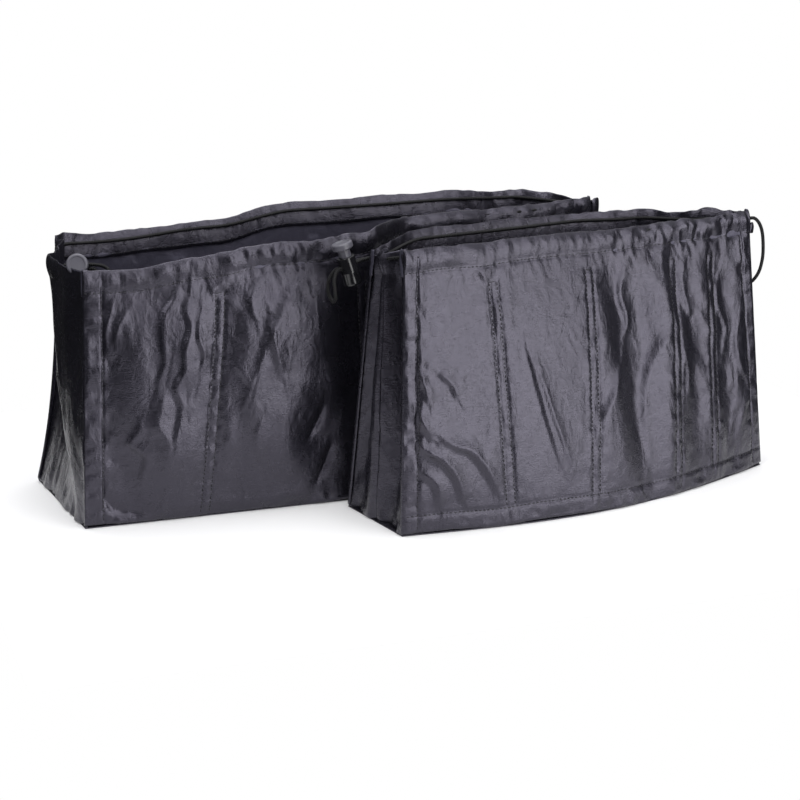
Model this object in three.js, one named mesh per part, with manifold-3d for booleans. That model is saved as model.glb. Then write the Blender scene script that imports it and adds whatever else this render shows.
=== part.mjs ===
// A set of two soft inserts that organise a handbag: a large one and a small one in front of it.
// Each is a nylon bag with rows of pockets inside both walls, folded ends, and a drawcord in a
// hem round its rim. One end of each mouth is open, the other is drawn shut.
import * as THREE from 'three';
import { mergeVertices } from 'three/addons/utils/BufferGeometryUtils.js';
import Module from 'manifold-3d';

const wasm = await Module();
wasm.setup();

// Cloth and seams, in millimetres.
const BASE_CLOTH = 0.9;
const WALL_CLOTH = 0.9;
const POCKET_CLOTH = 0.7;
const SEAM_GAP = 0.3;
const HEM_HEIGHT = 12.5;
const HEM_HALF_THICKNESS = 2;
const HEM_EDGE_HALF_THICKNESS = 0.9;
const HEM_CORNER = 6;

// Pockets sewn inside the walls, between the rows of stitches that show outside.
const POCKET_MOUTH_DROP = 24;
const POCKET_SEAM_HEIGHT = 7;
const POCKET_EASE = 1.6;
const ROW_MARGIN = 2;

// The drawcord and the channel in the hem that holds it.
const CORD_DIAMETER = 2;
const CORD_CLEARANCE = 0.4;
const CORD_STEP = 5;
const STRAND_SPACING = 2.3;
const CORD_LEAD = 2;

// The cord lock: a barrel, a sprung plunger with a round button, and the spring.
const BARREL_DIAMETER = 10;
const BARREL_ABOVE_HOLE = 5;
const BARREL_BELOW_HOLE = 11;
const BARREL_FLOOR = 1.4;
const BARREL_FILLET = 1.6;
const BARREL_LIP = 0.5;
const PLUNGER_DIAMETER = 6.8;
const PLUNGER_CLEARANCE = 0.3;
const PLUNGER_STROKE = 4;
const PLUNGER_BELOW_HOLE = 5;
const STRAND_CLEARANCE = 0.35;
const BUTTON_DIAMETER = 11.6;
const BUTTON_THICKNESS = 3.6;
const BUTTON_FILLET = 1.3;
const BUTTON_LIFT = 0.5;
const SPRING_WIRE = 0.5;
const SPRING_DIAMETER = 4;
const SPRING_SOCKET_DIAMETER = 4.8;
const SPRING_SOCKET_ROOF = 1;

// Numbers of turns, sides and steps.
const LATHE_SIDES = 20;
const FILLET_STEPS = 3;
const CORD_SIDES = 8;
const SPRING_TURNS = 4;
const SPRING_STEPS_PER_TURN = 8;
const SPRING_SIDES = 5;
const POCKET_COLUMNS = 4;
const POCKET_SKIP = 2;
const CLOTH_ROWS = 6;
const GUSSET_COLUMNS = 12;
const END_HEM_STEPS = 7;
const DRAWN_HEM_STEPS = 6;

// The large insert. Shares run along a wall from the open end, 0, to the drawn end, 1,
// and across an end from the front wall, 0, to the back wall, 1.
const LARGE = {
  name: 'large',
  centreX: 0,
  centreY: 0,
  turn: 0,
  baseWidth: 328,
  baseDepth: 96,
  height: 157,
  rimInsetOpenEnd: 5,
  rimInsetDrawnEnd: 12,
  drawnGap: 9,
  drawnMeetingY: 2,
  frontNarrowing: 36,
  backNarrowing: 6,
  belly: 3,
  footBow: 0,
  footFlare: 10.5,
  endBow: 10,
  endFold: 12,
  drawnFold: 16,
  seamShare: 0.5,
  dividerShares: [0, 0.25, 0.5, 0.75, 1],
  frontLeanShares: [[0, 0], [0.42, 0.01], [0.5, 0.12], [0.62, 0.6], [0.82, 0.8], [1, 1]],
  backLeanShares: [[0, 0.25], [0.12, 0.06], [0.25, 0], [0.75, 0.03], [0.89, 0.24], [0.95, 0.55], [1, 1]],
  frontSagShares: [[0, 0.1], [0.08, 0.1], [0.2, 0.07], [0.34, 0.04], [0.47, 0.03], [0.62, 0], [1, 0]],
  backSagShares: [[0, 0.07], [0.24, 0.035], [0.44, 0.012], [1, 0]],
  endBowShares: [[0, 0], [0.48, 1], [1, 0]],
  endRidgeShares: [[0, 0.02], [0.15, 0.15], [0.35, 0.35], [0.5, 0.45], [0.75, 0.52], [1, 0.55]],
  endFoldShares: [[0, 0], [0.5, 0.27], [0.74, -1], [1, 0]],
  footFoldShare: 0,
  endHemShares: [0.34, 0.94],
  backHemEndShare: 1,
};

// The small insert, turned a little, in front of the large one.
const SMALL = {
  name: 'small',
  centreX: 110.4,
  centreY: -58.5,
  turn: 0.2025,
  baseWidth: 251,
  baseDepth: 54,
  height: 154,
  rimInsetOpenEnd: 5,
  rimInsetDrawnEnd: 14,
  drawnGap: 9,
  drawnMeetingY: -22.5,
  frontNarrowing: 0,
  backNarrowing: 24,
  belly: 2,
  footBow: 22,
  footFlare: 0,
  endBow: 5,
  endFold: 13,
  drawnFold: 8,
  seamShare: 0.466,
  dividerShares: [0, 0.245, 0.466, 0.69, 0.83, 1],
  frontLeanShares: [[0, 0], [1, 1]],
  backLeanShares: [[0, 0.42], [0.17, 0.2], [0.59, 0.2], [0.75, 0.4], [0.905, 0.82], [1, 1]],
  frontSagShares: [[0, 0], [1, 0]],
  backSagShares: [[0, 0.03], [0.17, 0], [1, 0]],
  endBowShares: [[0, 0], [0.3, -1], [0.5, 0.4], [0.75, -0.8], [1, 0]],
  endRidgeShares: [[0, 0.5], [1, 0.5]],
  endFoldShares: [[0, 0], [0.3, -1], [0.6, 0.2], [0.8, -0.4], [1, 0]],
  footFoldShare: 0.1,
  endHemShares: [0.18, 0.78],
  backHemEndShare: 0.98,
};

// Each cord lock: the centre of its cross hole, from an end of the open end's hem, the way
// that its button points and the way that the cord leaves. Its cord hangs in a loop, whose
// points are chosen by hand as distances forward, to the side and up from the hole. The
// approach leads the cord round the button, from the hole.
const LARGE_LOCK = {
  hemEnd: 0,
  offset: [9.9, -5.6, 0.9],
  button: [-0.28, -0.9, 0.3],
  leaves: [0.95, -0.3, 0],
  runIn: 2,
  tail: [
    [13, 0, 0],
    [17, 0, -4.5],
    [18.5, 0, -10],
    [16.5, 0, -14.5],
    [12.5, 0, -15.5],
    [10, 0, -12],
    [10.5, 0, -7.5],
  ],
  approach: [
    [-4.5, -6.5, -6],
    [0.5, -16, -5.5],
  ],
};
const SMALL_LOCK = {
  hemEnd: 1,
  offset: [-15.6, 12.9, -4.8],
  button: [-0.26, 0.09, 0.96],
  leaves: [-0.96, 0, -0.26],
  runIn: 3.5,
  tail: [
    [10, 2.8, -7],
    [10.2, 4, -12],
    [9.6, 3.2, -16.5],
    [9.2, 0, -18.8],
    [9.6, -3.2, -16.5],
    [10.2, -4, -12],
    [10, -2.8, -7],
  ],
  approach: [],
};

// The loop of slack cord at the small insert's drawn end, from the end of the front hem.
const SLACK_LOOP = [
  [4.5, -0.1, -0.3],
  [7.9, -0.2, -3],
  [10.5, -0.4, -8],
  [12, -0.4, -16],
  [12.4, 0, -25],
  [11.2, 1.5, -33.5],
  [8.8, 5, -39.5],
  [6.6, 9.5, -41],
  [5.6, 13, -37.5],
  [6, 13.8, -30],
  [7, 13, -20],
  [7.6, 11.2, -10],
  [6.3, 10, -3],
  [4.6, 10.2, 0.8],
  [1.8, 10.4, 1.8],
];

// Places in the hem's section, as shares of its height and of its half thickness.
const HEM_CHANNEL_SHARE = 0.7;
const HEM_SWELL_SHARE = 0.45;
const HEM_SHOULDER_SHARE = 0.9;
const HEM_CROWN_SHARE = 0.5;
const FLAT_HEM_SHARE = 0.45;
const RIM_STEP_SHARE = 0.002;
const FRONT = -1;
const BACK = 1;
const UPWARDS = new THREE.Vector3(0, 0, 1);
const ALONG = new THREE.Vector3(1, 0, 0);

const NYLON = { color: 0x23222a, roughness: 0.42, metalness: 0 };
const POCKET_NYLON = { color: 0x2a2932, roughness: 0.38, metalness: 0 };
const CORD = { color: 0x17171a, roughness: 0.8, metalness: 0 };
const PLASTIC = { color: 0x1c1c1f, roughness: 0.3, metalness: 0 };
const BUTTON_PLASTIC = { color: 0x6d6c78, roughness: 0.35, metalness: 0 };
const STEEL = { color: 0x9a9ca0, roughness: 0.35, metalness: 0.9 };

const { lerp, smoothstep } = THREE.MathUtils;
const vector = (x, y, z) => new THREE.Vector3(x, y, z);
const between = (a, b, share) => a.clone().lerp(b, share);

// The value of a table of [place, value] pairs, eased from each pair to the next.
function along(table, place) {
  const next = Math.max(1, table.findIndex(([at]) => at >= place));
  const [from, low] = table[next - 1];
  const [to, high] = table[next];
  return lerp(low, high, smoothstep(place, from, to));
}

// Even stops from one share to another, both included.
function evenStops(from, to, steps) {
  return Array.from({ length: steps + 1 }, (_, i) => lerp(from, to, i / steps));
}

// Stops along a wall between two shares, with the same number in each pocket.
function pocketStops(insert, from, to) {
  const stops = [];
  const dividers = insert.dividerShares;
  for (let i = 1; i < dividers.length; i += 1) {
    if (dividers[i - 1] >= from && dividers[i] <= to) {
      stops.push(...evenStops(dividers[i - 1], dividers[i], POCKET_COLUMNS).slice(stops.length ? 1 : 0));
    }
  }
  return stops;
}

// 0 at each divider seam and 1 in the middle of each pocket.
function pocketRise(insert, u) {
  const dividers = insert.dividerShares;
  const next = Math.max(1, dividers.findIndex((share) => share >= u));
  return Math.sin(Math.PI * (u - dividers[next - 1]) / (dividers[next] - dividers[next - 1])) ** 2;
}

// A mesh from points and triangles, turned so that its faces point out.
function closedMesh(points, faces) {
  const volume = faces.reduce(
    (sum, [a, b, c]) => sum + points[a].dot(points[b].clone().cross(points[c])),
    0,
  );
  const outward = volume < 0 ? faces.map(([a, b, c]) => [a, c, b]) : faces;
  const geometry = new THREE.BufferGeometry();
  const numbers = points.flatMap((point) => point.toArray());
  geometry.setAttribute('position', new THREE.Float32BufferAttribute(numbers, 3));
  geometry.setIndex(outward.flat());
  geometry.computeVertexNormals();
  return geometry;
}

// Faces between the rings of a tube whose points start at `first`.
function tubeFaces(first, sides, spans, turned) {
  const faces = [];
  for (let i = 0; i < spans; i += 1) {
    for (let k = 0; k < sides; k += 1) {
      const a = first + i * sides + k;
      const b = first + i * sides + ((k + 1) % sides);
      const [c, d] = [b + sides, a + sides];
      faces.push(...(turned ? [[b, a, d], [b, d, c]] : [[a, b, c], [a, c, d]]));
    }
  }
  return faces;
}

// A solid along rings of the same size, closed by flat ends, or open inside where it has holes.
function loft(rings, holes) {
  const sides = rings[0].length;
  const spans = rings.length - 1;
  const far = spans * sides;
  const inner = rings.length * sides;
  const faces = tubeFaces(0, sides, spans, false);
  if (holes) {
    faces.push(...tubeFaces(inner, sides, spans, true));
  }
  for (let k = 0; k < sides; k += 1) {
    const next = (k + 1) % sides;
    if (holes) {
      faces.push([next, k, inner + k], [next, inner + k, inner + next]);
      faces.push([far + k, far + next, inner + far + next], [far + k, inner + far + next, inner + far + k]);
    } else if (k > 0 && next > 0) {
      faces.push([0, next, k], [far, far + k, far + next]);
    }
  }
  return closedMesh([...rings, ...(holes || [])].flat(), faces);
}

// A sheet of cloth from columns of points on its outer face and its inner face.
function sheet(outer, inner) {
  const [columns, rows] = [outer.length, outer[0].length];
  const behind = columns * rows;
  const at = (i, j) => i * rows + j;
  const faces = [];
  const rimStrip = (p, q) => faces.push([p, q, behind + q], [p, behind + q, behind + p]);
  for (let i = 0; i < columns - 1; i += 1) {
    for (let j = 0; j < rows - 1; j += 1) {
      const [a, b, c, d] = [at(i, j), at(i + 1, j), at(i + 1, j + 1), at(i, j + 1)];
      faces.push([a, b, c], [a, c, d]);
      faces.push([behind + a, behind + c, behind + b], [behind + a, behind + d, behind + c]);
    }
    rimStrip(at(i + 1, 0), at(i, 0));
    rimStrip(at(i, rows - 1), at(i + 1, rows - 1));
  }
  for (let j = 0; j < rows - 1; j += 1) {
    rimStrip(at(0, j), at(0, j + 1));
    rimStrip(at(columns - 1, j + 1), at(columns - 1, j));
  }
  return closedMesh([...outer, ...inner].flat(), faces);
}

// A wall as a ruled panel: a foot line and a rim line, both on its outer face. The front foot
// bows forward, and the back wall's open end spreads at its foot.
function wallPanel(insert, side) {
  const halfWidth = insert.baseWidth / 2;
  const halfDepth = insert.baseDepth / 2;
  const narrowing = side === FRONT ? insert.frontNarrowing : insert.backNarrowing;
  const lean = side === FRONT ? insert.frontLeanShares : insert.backLeanShares;
  const sag = side === FRONT ? insert.frontSagShares : insert.backSagShares;
  const footHeight = BASE_CLOTH + SEAM_GAP;
  const clothHeight = insert.height - footHeight;
  const drawnY = insert.drawnMeetingY + side * insert.drawnGap / 2;
  const footY = (u) => {
    const past = Math.max(0, (u - insert.seamShare) / (1 - insert.seamShare));
    return side * (halfDepth - narrowing * past);
  };
  const foot = (u) => {
    const bow = side === FRONT ? insert.footBow * Math.sin(Math.PI * u) : 0;
    return vector(lerp(-halfWidth, halfWidth, u), footY(u) - bow, footHeight);
  };
  const rim = (u) => {
    const x = lerp(insert.rimInsetOpenEnd - halfWidth, halfWidth - insert.rimInsetDrawnEnd, u);
    const y = lerp(side * halfDepth, drawnY, along(lean, u));
    const reach = y - footY(u);
    const drop = clothHeight * along(sag, u);
    return vector(x, y, footHeight + Math.sqrt(clothHeight ** 2 - reach ** 2) - drop);
  };
  const place = (u) => u;
  const bulge = (u, share) => insert.belly * Math.sin(Math.PI * share) * Math.sin(Math.PI * u);
  const flare = (u, share) => (side === BACK ? insert.footFlare * ((1 - u) * (1 - share)) ** 3 : 0);
  return { foot, rim, place, bulge, flare, inward: vector(0, -side, 0) };
}

// An end as a ruled panel between the inner faces of the two walls. Its columns are drawn
// towards the ridge of its fold, so that one of them runs along it.
function endPanel(insert, front, back, place) {
  const inset = WALL_CLOTH + SEAM_GAP;
  const edge = (wall, line) => wall[line](place).addScaledVector(wall.inward, inset);
  const across = (line, w) => between(edge(front, line), edge(back, line), w);
  const foot = (w) => across('foot', w);
  const rim = (w) => {
    const bow = place === 0 ? insert.endBow * along(insert.endBowShares, w) : 0;
    return across('rim', w).addScaledVector(ALONG, -bow);
  };
  if (place === 0) {
    const toRidge = (w, share) => {
      const ridge = along(insert.endRidgeShares, share);
      return w < 1 / 2 ? 2 * w * ridge : lerp(ridge, 1, 2 * w - 1);
    };
    const fold = (w, share) => insert.endFold * along(insert.endFoldShares, w)
      * Math.sin(Math.PI * lerp(insert.footFoldShare, 1, share));
    const flare = (w, share) => insert.footFlare * w * (1 - share) ** 3;
    return { foot, rim, place: toRidge, bulge: fold, flare, inward: ALONG };
  }
  const tuck = (w, share) => -insert.drawnFold * Math.sin(Math.PI * w) * Math.sin(Math.PI * share / 2);
  return { foot, rim, place: (w) => w, bulge: tuck, flare: () => 0, inward: ALONG.clone().negate() };
}

// A point of a panel, at a distance up from its foot and a depth in from its outer face.
function panelPoint(panel, u, distance, depth) {
  const share = distance / panel.foot(u).distanceTo(panel.rim(u));
  const place = panel.place(u, share);
  return between(panel.foot(place), panel.rim(place), share)
    .addScaledVector(panel.inward, depth - panel.bulge(u, share))
    .addScaledVector(ALONG, -panel.flare(place, share));
}

// Cloth on a panel: from low above its foot to drop below its rim, at depth(u, share).
// Its rows lie on those of the full panel, so that layers of cloth nest.
function panelCloth(panel, stops, low, drop, thickness, depth) {
  const length = (u) => panel.foot(u).distanceTo(panel.rim(u));
  const rowHeight = (u, share) => share * (length(u) - HEM_HEIGHT - SEAM_GAP);
  const inside = evenStops(0, 1, CLOTH_ROWS).filter((share) => stops.every((u) => (
    rowHeight(u, share) > low + ROW_MARGIN && rowHeight(u, share) < length(u) - drop - ROW_MARGIN
  )));
  const column = (u, extra) => {
    const top = length(u) - drop;
    return [low, ...inside.map((share) => rowHeight(u, share)), top].map(
      (height) => panelPoint(panel, u, height, depth(u, (height - low) / (top - low)) + extra),
    );
  };
  return sheet(stops.map((u) => column(u, 0)), stops.map((u) => column(u, thickness)));
}

// The frame of the hem at a place: its lower edge, its way up and its way across the cloth,
// square to the way that the rim runs there or to the heading given.
function hemFrame(panel, u, heading) {
  const foot = panel.foot(u);
  const rim = panel.rim(u);
  const up = rim.clone().sub(foot).normalize();
  const [before, after] = [Math.max(0, u - RIM_STEP_SHARE), Math.min(1, u + RIM_STEP_SHARE)];
  const ahead = heading || panel.rim(after).sub(panel.rim(before));
  const across = ahead.clone().cross(up).normalize();
  const origin = rim.clone().addScaledVector(up, -HEM_HEIGHT).addScaledVector(panel.inward, WALL_CLOTH / 2);
  return { origin, up, across };
}

// A point in the hem's section, from the frame's lower edge.
function inHem(frame, rise, side) {
  return frame.origin.clone().addScaledVector(frame.up, rise).addScaledVector(frame.across, side);
}

// The hem's outer section, wide round the channel and narrow at its stitched edge.
function hemRing(frame) {
  const swell = HEM_HALF_THICKNESS;
  const crown = HEM_CROWN_SHARE * swell;
  const halves = [
    [0, HEM_EDGE_HALF_THICKNESS],
    [HEM_SWELL_SHARE * HEM_HEIGHT, swell],
    [HEM_SHOULDER_SHARE * HEM_HEIGHT, swell],
    [HEM_HEIGHT, crown],
  ];
  const near = halves.map(([rise, half]) => inHem(frame, rise, half));
  const other = halves.map(([rise, half]) => inHem(frame, rise, -half)).reverse();
  return [other[other.length - 1], ...near, ...other.slice(0, -1)];
}

// The ring of the cord's channel, with its points facing those of the outer section.
function channelRing(frame) {
  const sides = CORD_SIDES;
  const rise = HEM_CHANNEL_SHARE * HEM_HEIGHT;
  const radius = (CORD_DIAMETER / 2 + CORD_CLEARANCE) / Math.cos(Math.PI / sides);
  return evenStops(0, sides - 1, sides - 1).map((k) => {
    const angle = Math.PI * (1 + (1 - 2 * k) / sides);
    return inHem(frame, rise + radius * Math.cos(angle), radius * Math.sin(angle));
  });
}

const hem = (frames) => loft(frames.map(hemRing), frames.map(channelRing));
const channelCentre = (frame) => inHem(frame, HEM_CHANNEL_SHARE * HEM_HEIGHT, 0);

// Frames round the drawn end, in a half turn from the front hem to the back hem.
function drawnEndFrames(front, back) {
  const start = hemFrame(front, 1);
  const end = hemFrame(back, 1);
  const middle = between(start.origin, end.origin, 0.5).add(vector(SEAM_GAP, 0, 0));
  const radius = Math.abs(end.origin.y - start.origin.y) / 2;
  return evenStops(0, 1, DRAWN_HEM_STEPS).map((share) => {
    const angle = Math.PI * (share - 1 / 2);
    const outward = vector(Math.cos(angle), Math.sin(angle), 0);
    const origin = middle.clone().addScaledVector(outward, radius);
    origin.z = lerp(start.origin.z, end.origin.z, share);
    return { origin, up: UPWARDS, across: outward };
  });
}

// The flat hem of an end whose cord comes out above it.
function flatHem(frames) {
  const face = (side) => frames.map((frame) => [0, FLAT_HEM_SHARE * HEM_HEIGHT].map(
    (rise) => inHem(frame, rise, side * HEM_EDGE_HALF_THICKNESS),
  ));
  return sheet(face(1), face(-1));
}

// A cord held along stops: one ring at each, square to the way the cord runs there.
function heldCord(stops) {
  const rings = stops.map((stop, i) => {
    const before = stops[Math.max(0, i - 1)];
    const after = stops[Math.min(stops.length - 1, i + 1)];
    const ahead = after.clone().sub(before).normalize();
    const side = ahead.clone().cross(UPWARDS).normalize();
    const up = side.clone().cross(ahead);
    return evenStops(0, CORD_SIDES - 1, CORD_SIDES - 1).map((k) => {
      const angle = 2 * Math.PI * k / CORD_SIDES;
      return stop.clone()
        .addScaledVector(side, CORD_DIAMETER / 2 * Math.cos(angle))
        .addScaledVector(up, CORD_DIAMETER / 2 * Math.sin(angle));
    });
  });
  return loft(rings);
}

// A tube along a curve.
function tube(curve, diameter, sides, steps) {
  const section = new THREE.Shape();
  section.setFromPoints(evenStops(0, sides - 1, sides - 1).map((k) => {
    const angle = 2 * Math.PI * k / sides;
    return new THREE.Vector2(diameter / 2 * Math.cos(angle), diameter / 2 * Math.sin(angle));
  }));
  return new THREE.ExtrudeGeometry(section, { steps, extrudePath: curve, curveSegments: 1 });
}

// A free cord through points, with a step every few diameters.
function freeCord(points) {
  const curve = new THREE.CatmullRomCurve3(points, false, 'centripetal');
  return tube(curve, CORD_DIAMETER, CORD_SIDES, Math.ceil(curve.getLength() / CORD_STEP));
}

// Triangles with their shared points merged, and none left flat.
function welded(geometry) {
  geometry.deleteAttribute('normal');
  geometry.deleteAttribute('uv');
  const merged = mergeVertices(geometry);
  const index = Array.from(merged.index.array);
  const kept = [];
  for (let i = 0; i < index.length; i += 3) {
    const [a, b, c] = index.slice(i, i + 3);
    if (a !== b && b !== c && c !== a) {
      kept.push(a, b, c);
    }
  }
  merged.setIndex(kept);
  return merged;
}

// A solid of revolution about the upward axis, from a profile of [radius, height] points.
function turned(profile) {
  const points = profile.map(([radius, height]) => new THREE.Vector2(radius, height));
  return welded(new THREE.LatheGeometry(points, LATHE_SIDES).rotateX(Math.PI / 2));
}

// Points of a fillet on a profile, between two angles about its centre.
function fillet(radius, height, size, from, to) {
  return evenStops(from, to, FILLET_STEPS).map(
    (angle) => [radius + size * Math.cos(angle), height + size * Math.sin(angle)],
  );
}

const slotWidth = STRAND_SPACING + CORD_DIAMETER + 2 * STRAND_CLEARANCE;
const slotHalfHeight = CORD_DIAMETER / 2 + STRAND_CLEARANCE;

// A slot with round corners that runs right through along X, between two heights.
function slotAlongX(low, high) {
  const shape = new THREE.Shape();
  const [round, reach] = [slotHalfHeight, BARREL_DIAMETER];
  const [left, right] = [round - slotWidth / 2, slotWidth / 2 - round];
  const [base, top] = [low + round, high - round];
  shape.absarc(right, base, round, -Math.PI / 2, 0, false);
  shape.absarc(right, top, round, 0, Math.PI / 2, false);
  shape.absarc(left, top, round, Math.PI / 2, Math.PI, false);
  shape.absarc(left, base, round, Math.PI, 3 * Math.PI / 2, false);
  const options = { depth: 2 * reach, bevelEnabled: false, curveSegments: 3 };
  const block = new THREE.ExtrudeGeometry(shape, options);
  return welded(block.translate(0, 0, -reach).rotateX(Math.PI / 2).rotateZ(Math.PI / 2));
}

function solid(geometry) {
  return new wasm.Manifold(new wasm.Mesh({
    numProp: 3,
    vertProperties: new Float32Array(geometry.attributes.position.array),
    triVerts: new Uint32Array(geometry.index.array),
  }));
}

function cutFrom(geometry, cutter) {
  const result = solid(geometry).subtract(solid(cutter)).getMesh();
  const cut = new THREE.BufferGeometry();
  cut.setAttribute('position', new THREE.BufferAttribute(result.vertProperties, 3));
  cut.setIndex(new THREE.BufferAttribute(result.triVerts, 1));
  cut.computeVertexNormals();
  return cut;
}

// The barrel of the lock: a cup with a rounded foot and a cross slot for two strands.
function lockBarrel() {
  const radius = BARREL_DIAMETER / 2;
  const bore = PLUNGER_DIAMETER / 2 + PLUNGER_CLEARANCE;
  const foot = -BARREL_BELOW_HOLE;
  const cup = turned([
    [0, foot],
    ...fillet(radius - BARREL_FILLET, foot + BARREL_FILLET, BARREL_FILLET, -Math.PI / 2, 0),
    [radius, BARREL_ABOVE_HOLE - BARREL_LIP],
    [radius - BARREL_LIP, BARREL_ABOVE_HOLE],
    [bore, BARREL_ABOVE_HOLE],
    [bore, foot + BARREL_FLOOR],
    [0, foot + BARREL_FLOOR],
  ]);
  return cutFrom(cup, slotAlongX(-slotHalfHeight, slotHalfHeight));
}

const socketTop = -slotHalfHeight - SPRING_SOCKET_ROOF;

// The plunger: a shaft with a tall slot and a socket for the spring, under a round button.
function lockPlunger() {
  const shaft = PLUNGER_DIAMETER / 2;
  const button = BUTTON_DIAMETER / 2;
  const socket = SPRING_SOCKET_DIAMETER / 2;
  const under = BARREL_ABOVE_HOLE + PLUNGER_STROKE + BUTTON_LIFT;
  const top = under + BUTTON_THICKNESS;
  const body = turned([
    [0, socketTop],
    [socket, socketTop],
    [socket, -PLUNGER_BELOW_HOLE],
    [shaft, -PLUNGER_BELOW_HOLE],
    [shaft, under],
    [button - BARREL_LIP, under],
    [button, under + BARREL_LIP],
    ...fillet(button - BUTTON_FILLET, top - BUTTON_FILLET, BUTTON_FILLET, 0, Math.PI / 2),
    [0, top],
  ]);
  return cutFrom(body, slotAlongX(-slotHalfHeight, slotHalfHeight + PLUNGER_STROKE));
}

// A helix about the upward axis.
class Helix extends THREE.Curve {
  constructor(radius, low, high, turns) {
    super();
    Object.assign(this, { radius, low, high, turns });
  }

  getPoint(t, target = new THREE.Vector3()) {
    const angle = 2 * Math.PI * this.turns * t;
    const [x, y] = [this.radius * Math.cos(angle), this.radius * Math.sin(angle)];
    return target.set(x, y, lerp(this.low, this.high, t));
  }
}

// The spring, between the barrel's floor and the roof of the plunger's socket.
function lockSpring() {
  const clear = SEAM_GAP + SPRING_WIRE / 2;
  const low = BARREL_FLOOR - BARREL_BELOW_HOLE + clear;
  const helix = new Helix((SPRING_DIAMETER - SPRING_WIRE) / 2, low, socketTop - clear, SPRING_TURNS);
  return tube(helix, SPRING_WIRE, SPRING_SIDES, SPRING_TURNS * SPRING_STEPS_PER_TURN);
}

// The lock's own frame: Z towards its button, X the way its cord leaves.
function lockFrame(lock, hemEnds) {
  const z = vector(...lock.button).normalize();
  const x = vector(...lock.leaves);
  x.addScaledVector(z, -x.dot(z)).normalize();
  const y = z.clone().cross(x);
  return { centre: hemEnds[lock.hemEnd].clone().add(vector(...lock.offset)), x, y, z };
}

// A point beyond the last of a run of points, straight on.
function beyond(run, distance) {
  const [before, last] = run.slice(-2);
  return last.clone().addScaledVector(last.clone().sub(before).normalize(), distance);
}

// A run with a straight lead before its first point.
const withLead = (run) => [beyond(run.slice(0, 2).reverse(), CORD_LEAD), ...run];

// A point on one of the two strands through the lock, on side 1 or -1.
function onStrand(frame, distance, side) {
  return frame.centre.clone()
    .addScaledVector(frame.x, distance)
    .addScaledVector(frame.y, side * STRAND_SPACING / 2);
}

// Points of a strand from its far face of the lock to where it runs in, straight.
function strandStops(lock, frame, side) {
  const face = BARREL_DIAMETER / 2;
  return [face, 0, -face, -face - lock.runIn].map((distance) => onStrand(frame, distance, side));
}

// The loop of cord that hangs from the lock.
function lockTail(lock, frame) {
  const forward = vector(frame.x.x, frame.x.y, 0).normalize();
  const side = forward.clone().cross(UPWARDS);
  side.multiplyScalar(frame.y.dot(side) < 0 ? -1 : 1);
  const start = BARREL_DIAMETER / 2 + SEAM_GAP;
  const ends = [start, start + CORD_LEAD];
  const hanging = lock.tail.map(([ahead, aside, up]) => frame.centre.clone()
    .addScaledVector(forward, ahead)
    .addScaledVector(side, aside)
    .addScaledVector(UPWARDS, up));
  return freeCord([
    ...ends.map((distance) => onStrand(frame, distance, 1)),
    ...hanging,
    ...ends.reverse().map((distance) => onStrand(frame, distance, -1)),
  ]);
}

// The base: a flat sheet under the feet of the walls.
function basePanel(front, back, stops) {
  const line = (wall) => stops.map((u) => panelPoint(wall, u, 0, 0));
  const outline = [...line(front), ...line(back).reverse()];
  const shape = new THREE.Shape(outline.map((point) => new THREE.Vector2(point.x, point.y)));
  return new THREE.ExtrudeGeometry(shape, { depth: BASE_CLOTH, bevelEnabled: false });
}

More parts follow.
